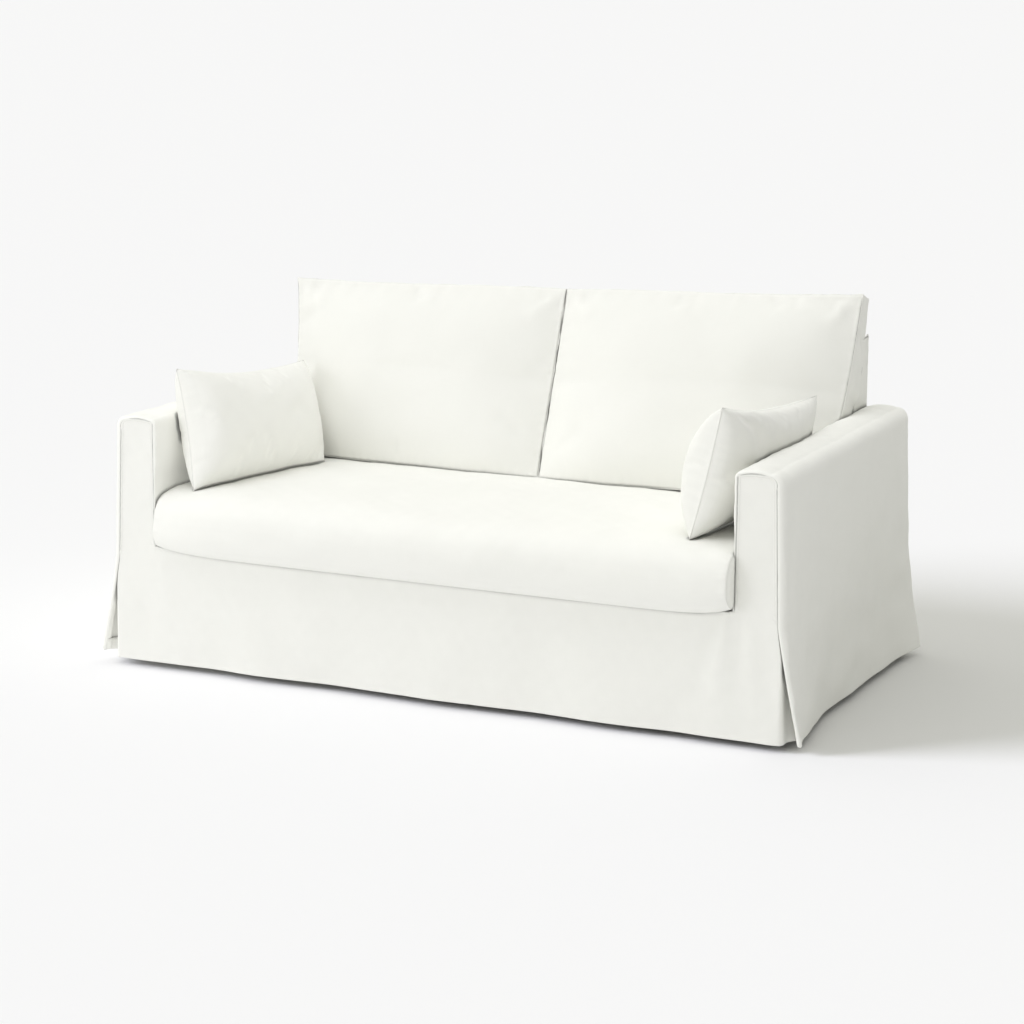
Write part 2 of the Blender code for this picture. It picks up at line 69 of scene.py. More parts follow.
CLOTH = 0.0016           # thickness of the cotton
FOLD = 0.0024            # radius of a pressed fold
HEM_TURN = 0.030         # how far a hem is turned up inside

# Seams where the side panels meet the front and back panels.
ARM_RADIUS_IN = 0.0095   # of the arm's cross-section
ARM_RADIUS_OUT = 0.024
ARM_PAD = 0.0046         # how far the arm's padding stands out past its section
WRAP = 0.0052            # radius of the side panel's roll round the corner, where the arm isn't padded
WRAP_HEM = 0.0090        # and of the free flap's, at the hem
WRAP_STEPS = 9
SEAM_IN = 0.0066         # the seam lies this far in from the outline
SEAM_OUT = 0.0045        # and this much nearer to it at the arm's top and inner side
TOPSTITCH = 0.0070       # from the seam

# How far the flaps swing out at the hem, by share of the depth, and the apron bows out, by share of its half.
HEM_SWING = ((0.0, 0.052), (0.05, 0.036), (0.15, 0.021), (0.26, 0.006), (0.50, 0.008), (0.72, 0.012),
             (0.88, 0.022), (0.96, 0.036), (1.0, 0.042))
SWING_POWER = 1.10
SWING_SHARE = {"left": 0.92, "right": 1.0}
APRON_BOW = ((0.0, 0.008), (0.35, -0.002), (0.62, 0.006), (0.80, -0.001), (1.0, 0.003))
APRON_POWER = 1.5

# Folds of the body cover, outwards: start, end, width, height, and its tips' share of the length.
SIDE_FOLDS = (
    ((0.10, 0.60), (0.03, 0.27), 0.030, 0.0022),
    ((0.90, 0.60), (0.96, 0.26), 0.030, 0.0022),
    ((0.20, 0.42), (0.17, 0.10), 0.045, -0.0030),
    ((0.50, 0.34), (0.52, 0.03), 0.060, 0.0026),
    ((0.72, 0.36), (0.70, 0.05), 0.050, -0.0026),
)
FRONT_FOLDS = (
    ((0.785, 0.345), (0.742, 0.10), 0.018, 0.0024, 0.25),
    ((0.815, 0.36), (0.800, 0.06), 0.018, -0.0018, 0.3),
    ((0.835, 0.33), (0.850, 0.03), 0.020, 0.0014, 0.3),
    ((0.745, 0.31), (0.690, 0.06), 0.030, -0.0022, 0.3),
    ((-0.785, 0.345), (-0.760, 0.10), 0.018, 0.0010, 0.3),
    ((-0.82, 0.25), (-0.84, 0.03), 0.035, -0.0030, 0.3),
    ((-0.30, 0.30), (-0.34, 0.02), 0.070, 0.0020),
    ((0.28, 0.31), (0.30, 0.02), 0.080, -0.0020),
)
BACK_FOLDS = (
    ((-0.74, 0.80), (-0.60, 0.35), 0.040, 0.0022),
    ((0.74, 0.80), (0.62, 0.38), 0.040, 0.0020),
    ((-0.25, 0.60), (-0.28, 0.05), 0.090, -0.0028),
    ((0.22, 0.50), (0.25, 0.03), 0.080, 0.0026),
    ((0.80, 0.55), (0.83, 0.10), 0.030, 0.0020),
)


# ---------------------------------------------------------------- numbers


def smooth(t):
    """Smooth step from 0 to 1."""
    t = np.clip(t, 0.0, 1.0)
    return t * t * (3.0 - 2.0 * t)


def mix(a, b, t):
    return a + (b - a) * t


def bell(t, width):
    """1 at t = 0, falling away to both sides."""
    return np.exp(-(t / width) ** 2)


def quarter(count):
    """Sine and cosine at even steps of a quarter turn."""
    angles = [math.pi / 2 * k / count for k in range(count + 1)]
    return [(math.sin(angle), math.cos(angle)) for angle in angles]


def curve(table, x):
    """Smooth curve through a table of (place, value), by cubic pieces with the slopes between neighbours."""
    xs, ys = np.array(table).T
    x = np.clip(x, xs[0], xs[-1])
    slope = np.gradient(ys, xs)
    k = np.clip(np.searchsorted(xs, x, side="right") - 1, 0, len(xs) - 2)
    h = xs[k + 1] - xs[k]
    t = (x - xs[k]) / h
    t2, t3 = t * t, t * t * t
    return ((2 * t3 - 3 * t2 + 1) * ys[k] + (t3 - 2 * t2 + t) * h * slope[k]
            + (3 * t2 - 2 * t3) * ys[k + 1] + (t3 - t2) * h * slope[k + 1])


def ripple(a, b, seed, shortest, longest, count=28):
    """Smooth unevenness over the plane (a, b), about -1 to 1, with waves between two lengths in metres."""
    draw = np.random.RandomState(seed)
    length = np.exp(draw.uniform(math.log(shortest), math.log(longest), count))
    turn = draw.uniform(0.0, 2 * math.pi, count)
    phase = draw.uniform(0.0, 2 * math.pi, count)
    total = np.zeros(np.broadcast(a, b).shape)
    for k in range(count):
        way = a * math.cos(turn[k]) + b * math.sin(turn[k])
        total = total + np.sin(2 * math.pi * way / length[k] + phase[k])
    return total / math.sqrt(count)


def ridge(a, b, start, end, width, height, tip=0.35):
    """A soft fold from start to end on the plane (a, b), that fades in and out at its tips."""
    ax, bx = start
    da, db = end[0] - ax, end[1] - bx
    length = math.hypot(da, db)
    along = ((a - ax) * da + (b - bx) * db) / (length * length)
    across = ((a - ax) * db - (b - bx) * da) / length
    fade = smooth(along / tip) * smooth((1.0 - along) / tip)
    return height * fade * bell(across, width * (0.55 + 0.9 * np.clip(along, 0.0, 1.0)))


def folds(a, b, table):
    """All the ridges of a table together."""
    return sum(ridge(a, b, *row) for row in table)


def steps(start, end, size):
    """Even places from start to end, no more than size apart."""
    return np.linspace(start, end, max(2, int(math.ceil(abs(end - start) / size)) + 1))


def bordered(band, length, size):
    """Places from 0 to length, close together in the bands near both ends."""
    return np.concatenate([band, steps(band[-1], length - band[-1], size)[1:-1], length - band[::-1]])


def along_path(points):
    """Distance of each point along the path through them."""
    return np.concatenate([[0.0], np.cumsum(np.linalg.norm(np.diff(points, axis=0), axis=1))])


def blend(f):
    """Catmull-Rom weights of the four points about a place, f of the way from the second to the third."""
    return (0.5 * (-f + 2 * f ** 2 - f ** 3), 0.5 * (2 - 5 * f ** 2 + 3 * f ** 3),
            0.5 * (f + 4 * f ** 2 - 3 * f ** 3), 0.5 * (-f ** 2 + f ** 3))


def closed_curve(points):
    """Smooth closed curve through points, with 16 steps from each to the next."""
    points = np.array(points)
    place = np.arange(len(points) * 16) / 16.0
    first = place.astype(int)
    weights = blend((place - first)[:, None])
    return sum(weights[k] * points[(first + k - 1) % len(points)] for k in range(4))


def resample(grid, rows, columns):
    """Smooth reading of a grid of points at fractional rows and columns."""

    def along(block, place):
        first = np.clip(np.floor(place).astype(int), 0, len(block) - 2)
        weights = blend(place - first)
        block = np.concatenate([2 * block[:1] - block[1:2], block, 2 * block[-1:] - block[-2:-1]])
        return sum(weights[k].reshape(-1, 1, 1) * block[first + k] for k in range(4))

    return along(along(grid, rows).transpose(1, 0, 2), columns).transpose(1, 0, 2)


# ---------------------------------------------------------------- meshes


def normals_of(grid):
    """Unit normals of a grid of points (rows, columns, 3): along the rows crossed with up the columns."""
    normal = np.cross(np.gradient(grid, axis=1), np.gradient(grid, axis=0))
    return normal / np.maximum(np.linalg.norm(normal, axis=2, keepdims=True), 1e-12)


def quads_of(rows, columns, keep=None, wrap=False):
    """Faces of a grid whose points run row by row. wrap closes each row."""
    j, i = np.mgrid[0:rows - 1, 0:columns if wrap else columns - 1]
    k = (i + 1) % columns
    quads = np.stack([j * columns + i, j * columns + k, (j + 1) * columns + k, (j + 1) * columns + i], -1)
    return quads[keep] if keep is not None else quads.reshape(-1, 4)


def rim_of(rows, columns):
    """Row and column numbers round the border of a grid, from its first corner and along its foot."""
    j = np.concatenate([np.zeros(columns - 1), np.arange(rows - 1), np.full(columns - 1, rows - 1),
                        np.arange(rows - 1, 0, -1)]).astype(int)
    i = np.concatenate([np.arange(columns - 1), np.full(rows - 1, columns - 1), np.arange(columns - 1, 0, -1),
                        np.zeros(rows - 1)]).astype(int)
    return j, i


def add_object(name, points, faces):
    """A new mesh object in the scene, from points in the part's frame."""
    mesh = bpy.data.meshes.new(name)
    mesh.from_pydata(points, [], faces)
    made = bpy.data.objects.new(name, mesh)
    bpy.context.scene.collection.objects.link(made)
    return made


def add_piece(name, points, faces, uv, material, nodes, cloth=0.0):
    """A piece of the cover, from points in sofa coordinates. uv is in metres along the cloth's threads."""
    points = np.asarray(points).reshape(-1, 3)
    used = np.unique(faces)
    order = np.full(len(points), -1)
    order[used] = np.arange(len(used))
    piece = add_object(name, (points[used] + SOFA_TO_PART).tolist(), order[faces].tolist())
    mesh = piece.data
    corners = np.empty(len(mesh.loops), dtype=np.int64)
    mesh.loops.foreach_get("vertex_index", corners)
    layer = mesh.uv_layers.new(name="cloth")
    layer.data.foreach_set("uv", np.asarray(uv).reshape(-1, 2)[used][corners].ravel())
    mesh.shade_smooth()
    mesh.materials.append(material)
    if cloth:
        solidify = piece.modifiers.new("cloth", "SOLIDIFY")
        solidify.thickness = cloth
        solidify.offset = -1.0
    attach(piece, BODY)
    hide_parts(*nodes)
    return piece


def sewn_sheet(name, xyz, faces, uv, material, node):
    """A panel of the body cover, as thick as its cloth. xyz and uv are grids of each coordinate."""
    return add_piece(name, np.stack(xyz, -1), faces, np.stack(uv, -1), material, [node], CLOTH)


# ---------------------------------------------------------------- the body's planes


def spread(z):
    return np.maximum(0.0, (ARM_HEIGHT - z) / ARM_HEIGHT)


def front_plane(z):
    return -FRONT_FLARE * spread(z)


def rear_plane(z):
    return BODY_DEPTH + REAR_FLARE * spread(z)


def side_plane(z):
    return HALF_BODY + SIDE_FLARE * spread(z)


def inside_back_plane(z):
    return SEAT_DEPTH + BACK_LEAN * (z - DECK_TOP)


def arch(share):
    """How high the arm's crown stands over its section, across its top."""
    return ARM_CROWN * 4 * share * (1.0 - share)


def drop(z):
    """0 at the top of the vents and 1 at the hem."""
    return np.clip((VENT_TOP - z) / (VENT_TOP - HEM), 0.0, 1.0)


def hem_swing(share, z):
    return curve(HEM_SWING, share) * drop(z) ** SWING_POWER


# ---------------------------------------------------------------- side panels

SIDE_PLACES = np.concatenate([(0.010, 0.014, 0.020, 0.028), steps(0.036, 0.944, 0.010),
                              (0.952, 0.960, 0.966, 0.970)])


def hem_rows():
    """(inward, height) of the turned-up hem, from its top edge inside, down and round to the outer face."""
    inside = ((0.0034, 1.0), (0.0040, 0.66), (0.0046, 0.33))
    rows = [(inward, HEM + FOLD + HEM_TURN * share) for inward, share in inside]
    for k in range(7):
        angle = math.pi * (1.0 - k / 6.0)
        rows.append((FOLD * (1.0 - math.cos(angle)), HEM + FOLD - FOLD * math.sin(angle)))
    return rows


def arm_rows():
    """Section of the right arm: across, height, its outward normal, and how far the cloth is turned in."""
    turn_out = ARM_TOP - ARM_RADIUS_OUT
    turn_in = ARM_TOP - ARM_RADIUS_IN
    centre = side_plane(turn_out) - ARM_RADIUS_OUT
    inner = HALF_INSIDE + ARM_RADIUS_IN
    rows = [(side_plane(z), z, 1.0, 0.0, inward) for inward, z in hem_rows()]
    rows += [(side_plane(z), z, 1.0, 0.0, 0.0) for z in steps(HEM + FOLD, turn_out, 0.008)[1:-1]]
    for rise, run in quarter(12):
        rows.append((centre + ARM_RADIUS_OUT * run, turn_out + ARM_RADIUS_OUT * rise, run, rise, 0.0))
    for x in steps(centre, inner, 0.006)[1:-1]:
        rows.append((x, ARM_TOP + arch((x - inner) / (centre - inner)), 0.0, 1.0, 0.0))
    for run, rise in quarter(10):
        rows.append((inner - ARM_RADIUS_IN * run, turn_in + ARM_RADIUS_IN * rise, -run, rise, 0.0))
    rows += [(HALF_INSIDE, z, -1.0, 0.0, 0.0) for z in steps(turn_in, DECK_TOP - CLOTH, 0.009)[1:]]
    return np.array(rows)


def arm_padding(height, nx):
    """How far the padding pushes the cloth out, at each row of the arm's section."""
    inside = smooth((height - 0.50) / 0.06)
    outside = 1 - smooth(2 * drop(height) * (nx > 0.5))
    return ARM_PAD * np.where(nx < -0.5, inside, outside) * (1 + 0.8 * smooth(nx))


def side_columns(near, far, roll):
    """Place and inset of a side panel's columns: turned-in edge, roll, face, and the other roll and edge."""
    edge = [(roll + 0.0011, depth) for depth in (0.016, 0.010, 0.005, 0.0026)] + [(roll + 0.0008, 0.0010)]
    edge += [(roll * (1.0 - rise), roll * (1.0 - run)) for rise, run in quarter(WRAP_STEPS)]
    columns = [(near + depth, inset) for inset, depth in edge]
    columns += [(mix(near + roll, far - roll, place / BODY_DEPTH), 0 * roll) for place in SIDE_PLACES]
    columns += [(far - depth, inset) for inset, depth in reversed(edge)]
    return np.array(columns).transpose(1, 2, 0)


def side_unevenness(s, y, z, edge_distance, outside, top, seed):
    """Slack, folds and puckers of a side panel, outwards. s runs along the arm's section."""
    low = smooth((0.58 - z) / 0.3)
    push = 0.0012 * ripple(s, y, seed, 0.10, 0.45) * (0.5 + 0.8 * low * outside)
    push += 0.00035 * ripple(s, y, seed + 1, 0.03, 0.09) * (0.6 + 0.4 * top)
    push += outside * folds(y, z, SIDE_FOLDS)
    push += top * 0.0008 * ripple(y, s, seed + 2, 0.05, 0.16)
    push += top * ridge(s, y, (0.66, 0.86), (0.77, 0.93), 0.012, 0.0014)
    return push + 0.00035 * bell(edge_distance - 0.004, 0.010) * ripple(s, 0.0, seed + 3, 0.012, 0.030)


def side_panel(side, material):
    """Inside arm, arm top and outside arm as one cloth, with free flaps below the vents."""
    rows = arm_rows()
    across, height, nx, nz, inward = (rows[:, k, None] for k in range(5))
    padding = arm_padding(height, nx)
    roll = WRAP + padding + (WRAP_HEM - WRAP) * drop(height) * (nx > 0.5)
    roll = roll - SEAM_OUT * np.clip(np.maximum(nz, -nx), 0, 1)
    near, far = front_plane(height), rear_plane(height)
    y, inset = side_columns(near[:, 0], far[:, 0], roll[:, 0])
    share = (y - near) / (far - near)
    y = y + inward * (smooth(1 - share / 0.03) - smooth(1 - (1 - share) / 0.03))
    s = along_path(rows[:, :2])[:, None] + 0 * y
    outside = smooth((nx - 0.2) / 0.6)
    top = smooth((nz - 0.2) / 0.6)
    seed = 11 if side == "right" else 37
    push = side_unevenness(s, y, height, np.minimum(y - near, far - y), outside, top, seed)
    swing = hem_swing(share, height) * outside * SWING_SHARE[side]
    rise = swing ** 2 / (2.0 * (VENT_TOP - HEM))
    padding = padding * (1 - (nx < -0.5) * smooth((y - 0.62) / 0.10))
    out = padding - inset + push * smooth((0.004 - inset) / 0.004)
    x = across + nx * (out - inward) + swing
    z = height + nz * out + rise
    if side == "left":
        z = z + outside * drop(height) * 0.010 * smooth((0.10 - share) / 0.10)
    faces = quads_of(*x.shape)
    if side == "right":
        faces = faces[:, ::-1]
    else:
        x = -x
    piece = sewn_sheet("side_panel_cloth_" + side, [x, y, z], faces, [y, s], material, "side_panel_" + side)


# ---------------------------------------------------------------- sewn edges

BAND = np.array((0.0006, 0.0014, 0.0026, 0.0042, 0.0056, 0.0064, TOPSTITCH, 0.0076, 0.0084, 0.0100, 0.0125,
                 0.0160, 0.0210, 0.0280))
EDGE_RADIUS = 0.0012
EDGE_STEPS = 5
RETURN = tuple(EDGE_RADIUS + depth for depth in (0.003, 0.006, 0.010))   # depths along a seam's allowance
NEARLY_FLAT = 0.0001


def seam_relief(t, along, seed):
    """Height of a sewn edge above the cloth: the raised allowance, the stitch line and its slight puckers."""
    allowance = 0.0009 * (smooth(t / 0.0016) - smooth((t - 0.0062) / 0.0036))
    line = 0.0006 * bell(t - TOPSTITCH, 0.0007)
    pucker = 0.0004 * ripple(along, 0.0, seed, 0.010, 0.028) * bell(t - 0.006, 0.008)
    return (allowance - line + pucker) * (t < 0.05)


def edge_places():
    """(inset, depth) round the small roll at a sewn edge, then its allowance going in."""
    roll = [(EDGE_RADIUS * (1.0 - rise), EDGE_RADIUS * (1.0 - run)) for rise, run in quarter(EDGE_STEPS)[1:]]
    return roll + [(0.0, depth) for depth in RETURN]


def edge_roll(inset):
    """How deep the small roll has gone at an inset from a sewn edge."""
    roll = np.clip(EDGE_RADIUS - inset, 0.0, EDGE_RADIUS)
    return EDGE_RADIUS - np.sqrt(EDGE_RADIUS ** 2 - roll ** 2)


# ---------------------------------------------------------------- front and back panels

MIDDLE, STRIP, ARM, SIDE_BAND, END = range(5)   # kinds of column, from the middle of an upright panel out
FAR = 1.0                                       # inset of a point that is near no seam
TURN_STEPS = 14
TURN_LENGTH = 0.085                             # how far a free end is turned behind the side flap
TURN_RADIUS_HEM = 0.013


class Upright:
    """Where the seams of an upright panel run: the front, a U round the seat, or the outside back."""

    def __init__(self, is_front):
        self.is_front = is_front
        self.plane = front_plane if is_front else rear_plane
        self.seed = 101 if is_front else 151
        self.arm_top = ARM_TOP - SEAM_IN + SEAM_OUT
        self.arm_edge = HALF_INSIDE + (SEAM_IN - SEAM_OUT if is_front else 0.004)
        self.middle_top = DECK_TOP - CLOTH if is_front else BACK_TOP - SEAM_IN
        self.middle_edge = HALF_INSIDE - (0.009 if is_front else SEAM_IN)
        self.low_top, self.high_top = sorted((self.arm_top, self.middle_top))
        self.corner = 0.0045 if is_front else 0.007


def outer_edge(height):
    """Where the side seam runs. Below the vent there is none, and the cloth goes out past the outline."""
    seam = side_plane(np.minimum(height, ARM_TOP)) - SEAM_IN
    return seam + (SEAM_IN + 0.0018) * smooth((VENT_TOP - height) / 0.09)


def end_radius(height):
    return mix(EDGE_RADIUS, TURN_RADIUS_HEM, drop(height))


def upright_rows(panel):
    """Rows from the hem up, and how many there are to the end of the low top seam.

    A row is its height, inset and depth at the low seam, the same at the high seam, and its turn inward.
    """

    def up_to(top, start):
        return np.concatenate([steps(start, top - BAND[-1], 0.008)[1:-1], top - BAND[::-1]])

    rows = [(z, FAR, 0.0, FAR, 0.0, inward) for inward, z in hem_rows()]
    rows += [(z, panel.low_top - z, 0.0, FAR, 0.0, 0.0) for z in up_to(panel.low_top, HEM + FOLD)]
    for k, (inset, depth) in enumerate(edge_places()):
        rows.append((panel.low_top - BAND[0] + max(depth, 0.0003 * (k + 1)), inset, depth, FAR, 0.0, 0.0))
    low_end = len(rows)
    rows += [(z, FAR, 0.0, panel.high_top - z, 0.0, 0.0) for z in up_to(panel.high_top, rows[-1][0])]
    rows += [(panel.high_top - inset, FAR, 0.0, inset, depth, 0.0) for inset, depth in edge_places()]
    return np.array(rows), low_end


def upright_columns(panel, height, high):
    """Columns of a panel's right half: place, inset, depth and kind of each, for every row."""
    columns = []
    outer, radius = outer_edge(height), end_radius(height)
    reach = mix(RETURN[-1], TURN_LENGTH, smooth((VENT_TOP - height) / 0.03))
    squeeze = (outer - radius - panel.arm_edge) / (outer - EDGE_RADIUS - panel.arm_edge)

    def add(place, inset, depth, kind):
        columns.append([value + 0 * height for value in (place, inset, depth, kind)])

    def add_on_arm(place, inset, kind):
        add(panel.arm_edge + (place - panel.arm_edge) * squeeze, inset, 0.0, kind)

    for place in steps(0.0, panel.middle_edge - BAND[-1], 0.0085)[:-1]:
        add(place, FAR, 0.0, MIDDLE)
    for inset in BAND[::-1]:
        add(panel.middle_edge - inset, np.where(high & (not panel.is_front), inset, FAR), 0.0, MIDDLE)
    # The strip between the middle and the arm: the sewn edge of whichever goes on above, or plain cloth.
    strip = edge_places()[::-1] if panel.is_front else edge_places()
    for k, (inset, depth) in enumerate(strip):
        plain = mix(panel.middle_edge, panel.arm_edge, (k + 0.5) / len(strip))
        sewn = panel.arm_edge + inset if panel.is_front else panel.middle_edge - inset
        add(np.where(high, sewn, plain), np.where(high, inset, FAR), np.where(high, depth, 0.0), STRIP)
    inner_band = BAND if panel.is_front else (0.002, 0.006)
    for inset in inner_band:
        add_on_arm(panel.arm_edge + inset, np.where(high & panel.is_front, inset, FAR), ARM)
    for k in range(1, 8):
        add_on_arm(mix(panel.arm_edge + inner_band[-1], outer - BAND[-1], k / 8.0), FAR, ARM)
    for inset in BAND[::-1]:
        add_on_arm(outer - inset, inset, SIDE_BAND)
    # The end: a small roll and allowance where it is sewn, a soft turn behind the flap below the vent.
    for rise, run in quarter(EDGE_STEPS)[1:]:
        add(outer - radius * (1.0 - rise), EDGE_RADIUS * (1.0 - rise), radius * (1.0 - run), END)
    for k in range(1, TURN_STEPS + 1):
        add(outer, 0.0, mix(radius, reach, k / TURN_STEPS), END)
    return np.array(columns).transpose(1, 2, 0)


def round_corners(panel, height, x, z, t, d, top_t, top_d, kind, is_arm):
    """Rounds the corners between side and top seams. Returns x, z and the inset from the nearest seam."""
    at_side = kind >= SIDE_BAND
    r = np.where(at_side, ARM_RADIUS_OUT - SEAM_IN, panel.corner)
    edge = np.where(at_side, outer_edge(height)[:, None], np.where(is_arm, panel.arm_edge, panel.middle_edge))
    top = np.where(is_arm, panel.arm_top, panel.middle_top)
    way = np.where(at_side | ~is_arm, 1.0, -1.0)
    p = (r - t + np.minimum(d, 0.02)) / r
    q = (r - top_t + top_d) / r
    in_corner = (p > 0) & (q > 0) & (z > VENT_TOP + 0.1) & (is_arm if panel.is_front else at_side | ~is_arm)
    big = np.maximum(p, q)
    ratio = np.minimum(p, q) / np.maximum(big, 1e-9)
    angle = np.where(p >= q, ratio * math.pi / 4, math.pi / 2 - ratio * math.pi / 4)
    size = r * np.minimum(big, 1.0)
    return (np.where(in_corner, edge - way * r + way * size * np.cos(angle), x),
            np.where(in_corner, top - r + size * np.sin(angle), z),
            np.where(in_corner, np.maximum(r * (1.0 - big), 0.0), np.minimum(t, top_t)))


def upright_relief(panel, x, z, near_t, kind, high, mid_t):
    """Sewn edges, slack and folds of an upright panel, outwards."""
    sewn = 1.0 - smooth((VENT_TOP - z) / 0.02) * (kind >= SIDE_BAND)
    at_deck = (mid_t < 0.03) & (kind < STRIP)
    sewn = np.where(high | (kind >= SIDE_BAND) | at_deck, sewn, 0.0)
    out = seam_relief(near_t, x + z, panel.seed) * sewn
    out += 0.0011 * ripple(x, z, panel.seed + 1, 0.12, 0.50) * smooth(near_t / 0.03)
    out += 0.0003 * ripple(x, z, panel.seed + 2, 0.03, 0.09)
    if not panel.is_front:
        return out + folds(x, z, BACK_FOLDS)
    bow = curve(APRON_BOW, np.clip(np.abs(x) / HALF_INSIDE, 0, 1))
    return out + bow * drop(z) ** APRON_POWER + folds(x, z, FRONT_FOLDS)


def upright_faces(panel, kind, low_end):
    """Faces of an upright panel. The part with the low top seam stops there, and the other goes on up."""
    pair = np.stack([kind[:-1, :-1], kind[:-1, 1:]])
    outer_kind, inner_kind = pair.max(0), pair.min(0)
    row = np.arange(len(kind) - 1)[:, None]
    if panel.is_front:
        stopped = outer_kind < STRIP
        between = (outer_kind >= STRIP) & (inner_kind < STRIP) & (row >= low_end - len(RETURN) - EDGE_STEPS)
    else:
        stopped = outer_kind >= ARM
        between = (outer_kind >= ARM) & (inner_kind < ARM) & (row >= low_end - len(RETURN))
    faces = quads_of(*kind.shape, keep=~(stopped & (row >= low_end - 1) | between))
    return faces if panel.is_front else faces[:, ::-1]


def upright_panel(is_front, material):
    """The front panel or the outside back, its ends turned behind the flaps. Returns its stitch lines."""
    panel = Upright(is_front)
    rows, low_end = upright_rows(panel)
    height, low_t, low_d, high_t, high_d, inward = rows.T
    mid_t, arm_t = (low_t, high_t) if is_front else (high_t, low_t)
    mid_d, arm_d = (low_d, high_d) if is_front else (high_d, low_d)
    high = np.arange(len(rows)) >= low_end - len(RETURN)
    x, t, d, kind = upright_columns(panel, height, high)
    z = height[:, None] + 0 * x
    at_seam = slice(low_end - len(RETURN) - EDGE_STEPS, low_end)
    stops = kind[at_seam] < STRIP if is_front else kind[at_seam] >= ARM
    z[at_seam] = np.where(stops, panel.low_top - low_t[at_seam, None], z[at_seam])
    is_arm = (kind >= ARM) | ((kind == STRIP) & is_front & high[:, None])
    top_t = np.where(is_arm, arm_t[:, None], mid_t[:, None])
    top_d = np.where(is_arm, arm_d[:, None], mid_d[:, None])
    x, z, near_t = round_corners(panel, height, x, z, t, d, top_t, top_d, kind, is_arm)
    depth = np.maximum(d, top_d)
    depth = np.where(depth > 0.0, depth, edge_roll(near_t))
    z = z + arch(np.clip((x - HALF_INSIDE) / ARM_WIDTH, 0, 1)) * smooth((z - 0.58) / 0.06) * is_arm
    # Both halves.
    lines_from = (height, arm_t, mid_t, t, kind[0])
    x = np.concatenate([-x[:, :0:-1], x], 1)
    z, near_t, depth, kind = (np.concatenate([half[:, :0:-1], half], 1) for half in (z, near_t, depth, kind))
    out = upright_relief(panel, x, z, near_t, kind, high[:, None], mid_t[:, None])
    facing = np.where(kind >= END, np.clip(1 - depth / end_radius(height)[:, None], 0, 1), 1.0)
    behind = depth + inward[:, None] * facing
    x = x - np.sign(x) * inward[:, None] * np.sqrt(1 - facing ** 2)
    room = hem_swing(np.clip(behind / BODY_DEPTH, 0, 1), z) - 0.012 * drop(z)
    x = x + np.sign(x) * np.maximum(0.0, room) * smooth((depth - 0.030) / 0.045) * (kind >= END)
    y = panel.plane(z) + (1.0 if is_front else -1.0) * (behind - out * smooth(1.0 - depth / 0.006))
    name = "front_panel" if is_front else "back_panel"
    faces = upright_faces(panel, kind, low_end)
    piece = sewn_sheet(name + "_cloth", [x, y, z], faces, [x, z], material, name)
    return stitch_lines(panel, np.stack([x, y, z], -1), *lines_from)


def stitch_lines(panel, grid, height, arm_t, mid_t, insets, kinds):
    """Lines of points on an upright panel where its topstitching runs, up each edge and across each top."""
    column = {kinds[k]: k for k in np.flatnonzero(np.abs(insets.min(0) - TOPSTITCH) < 1e-7)}
    arm_row, mid_row = (int(np.argmin(np.abs(t - TOPSTITCH))) for t in (arm_t, mid_t))
    vent_row, deck_row, above_arm = (int(np.argmax(height > z)) for z in
                                     (VENT_TOP + 0.004, DECK_TOP + 0.006, ARM_HEIGHT + 0.006))
    half = len(kinds) - 1
    runs = []
    for way in (1, -1):
        outer = half + way * column[SIDE_BAND]
        inner = half + way * (column[ARM] if panel.is_front else int(np.argmax(kinds == ARM)))
        top = grid[arm_row, min(inner, outer):max(inner, outer) + 1][::-way]
        run = [grid[vent_row:arm_row + 1, outer], top[1:]]
        if panel.is_front:
            run = [run[0], top[1:-1], grid[deck_row:arm_row + 1, inner][::-1]]
        runs.append(np.concatenate(run))
    if not panel.is_front:
        left, right = half - column[MIDDLE], half + column[MIDDLE]
        runs.append(np.concatenate([grid[above_arm:mid_row + 1, left], grid[mid_row, left + 1:right],
                                    grid[above_arm:mid_row + 1, right][::-1]]))
    normal = np.array((0.0, -1.0 if panel.is_front else 1.0, 0.0))
    return [(run, np.tile(normal, (len(run), 1))) for run in runs]


# ---------------------------------------------------------------- back, gussets and deck

BACK_ROLL = 0.020
SEAM_GAP = 0.0012        # between the edge of a panel and the arm beside it


def back_path():
    """Section of the inside back, up its face, over its top and down to the seam: y, z and its normal."""
    turn = BACK_TOP - BACK_ROLL
    centre = inside_back_plane(turn) + BACK_ROLL
    rear = rear_plane(BACK_TOP) - WRAP
    path = [(inside_back_plane(z), z, -1.0, BACK_LEAN) for z in steps(DECK_TOP - CLOTH, turn, 0.010)[:-1]]
    path += [(centre - BACK_ROLL * run, turn + BACK_ROLL * rise, -run, rise) for rise, run in quarter(12)]
    path += [(y, BACK_TOP, 0.0, 1.0) for y in steps(centre, rear, 0.006)[1:]]
    path += [(rear + WRAP * run, BACK_TOP - WRAP + WRAP * rise, run, rise) for run, rise in quarter(8)[1:]]
    path += [(rear + WRAP - depth, BACK_TOP - WRAP - 0.0012, 0.0, -1.0) for depth in (0.002, 0.006, 0.010)]
    return np.array(path)


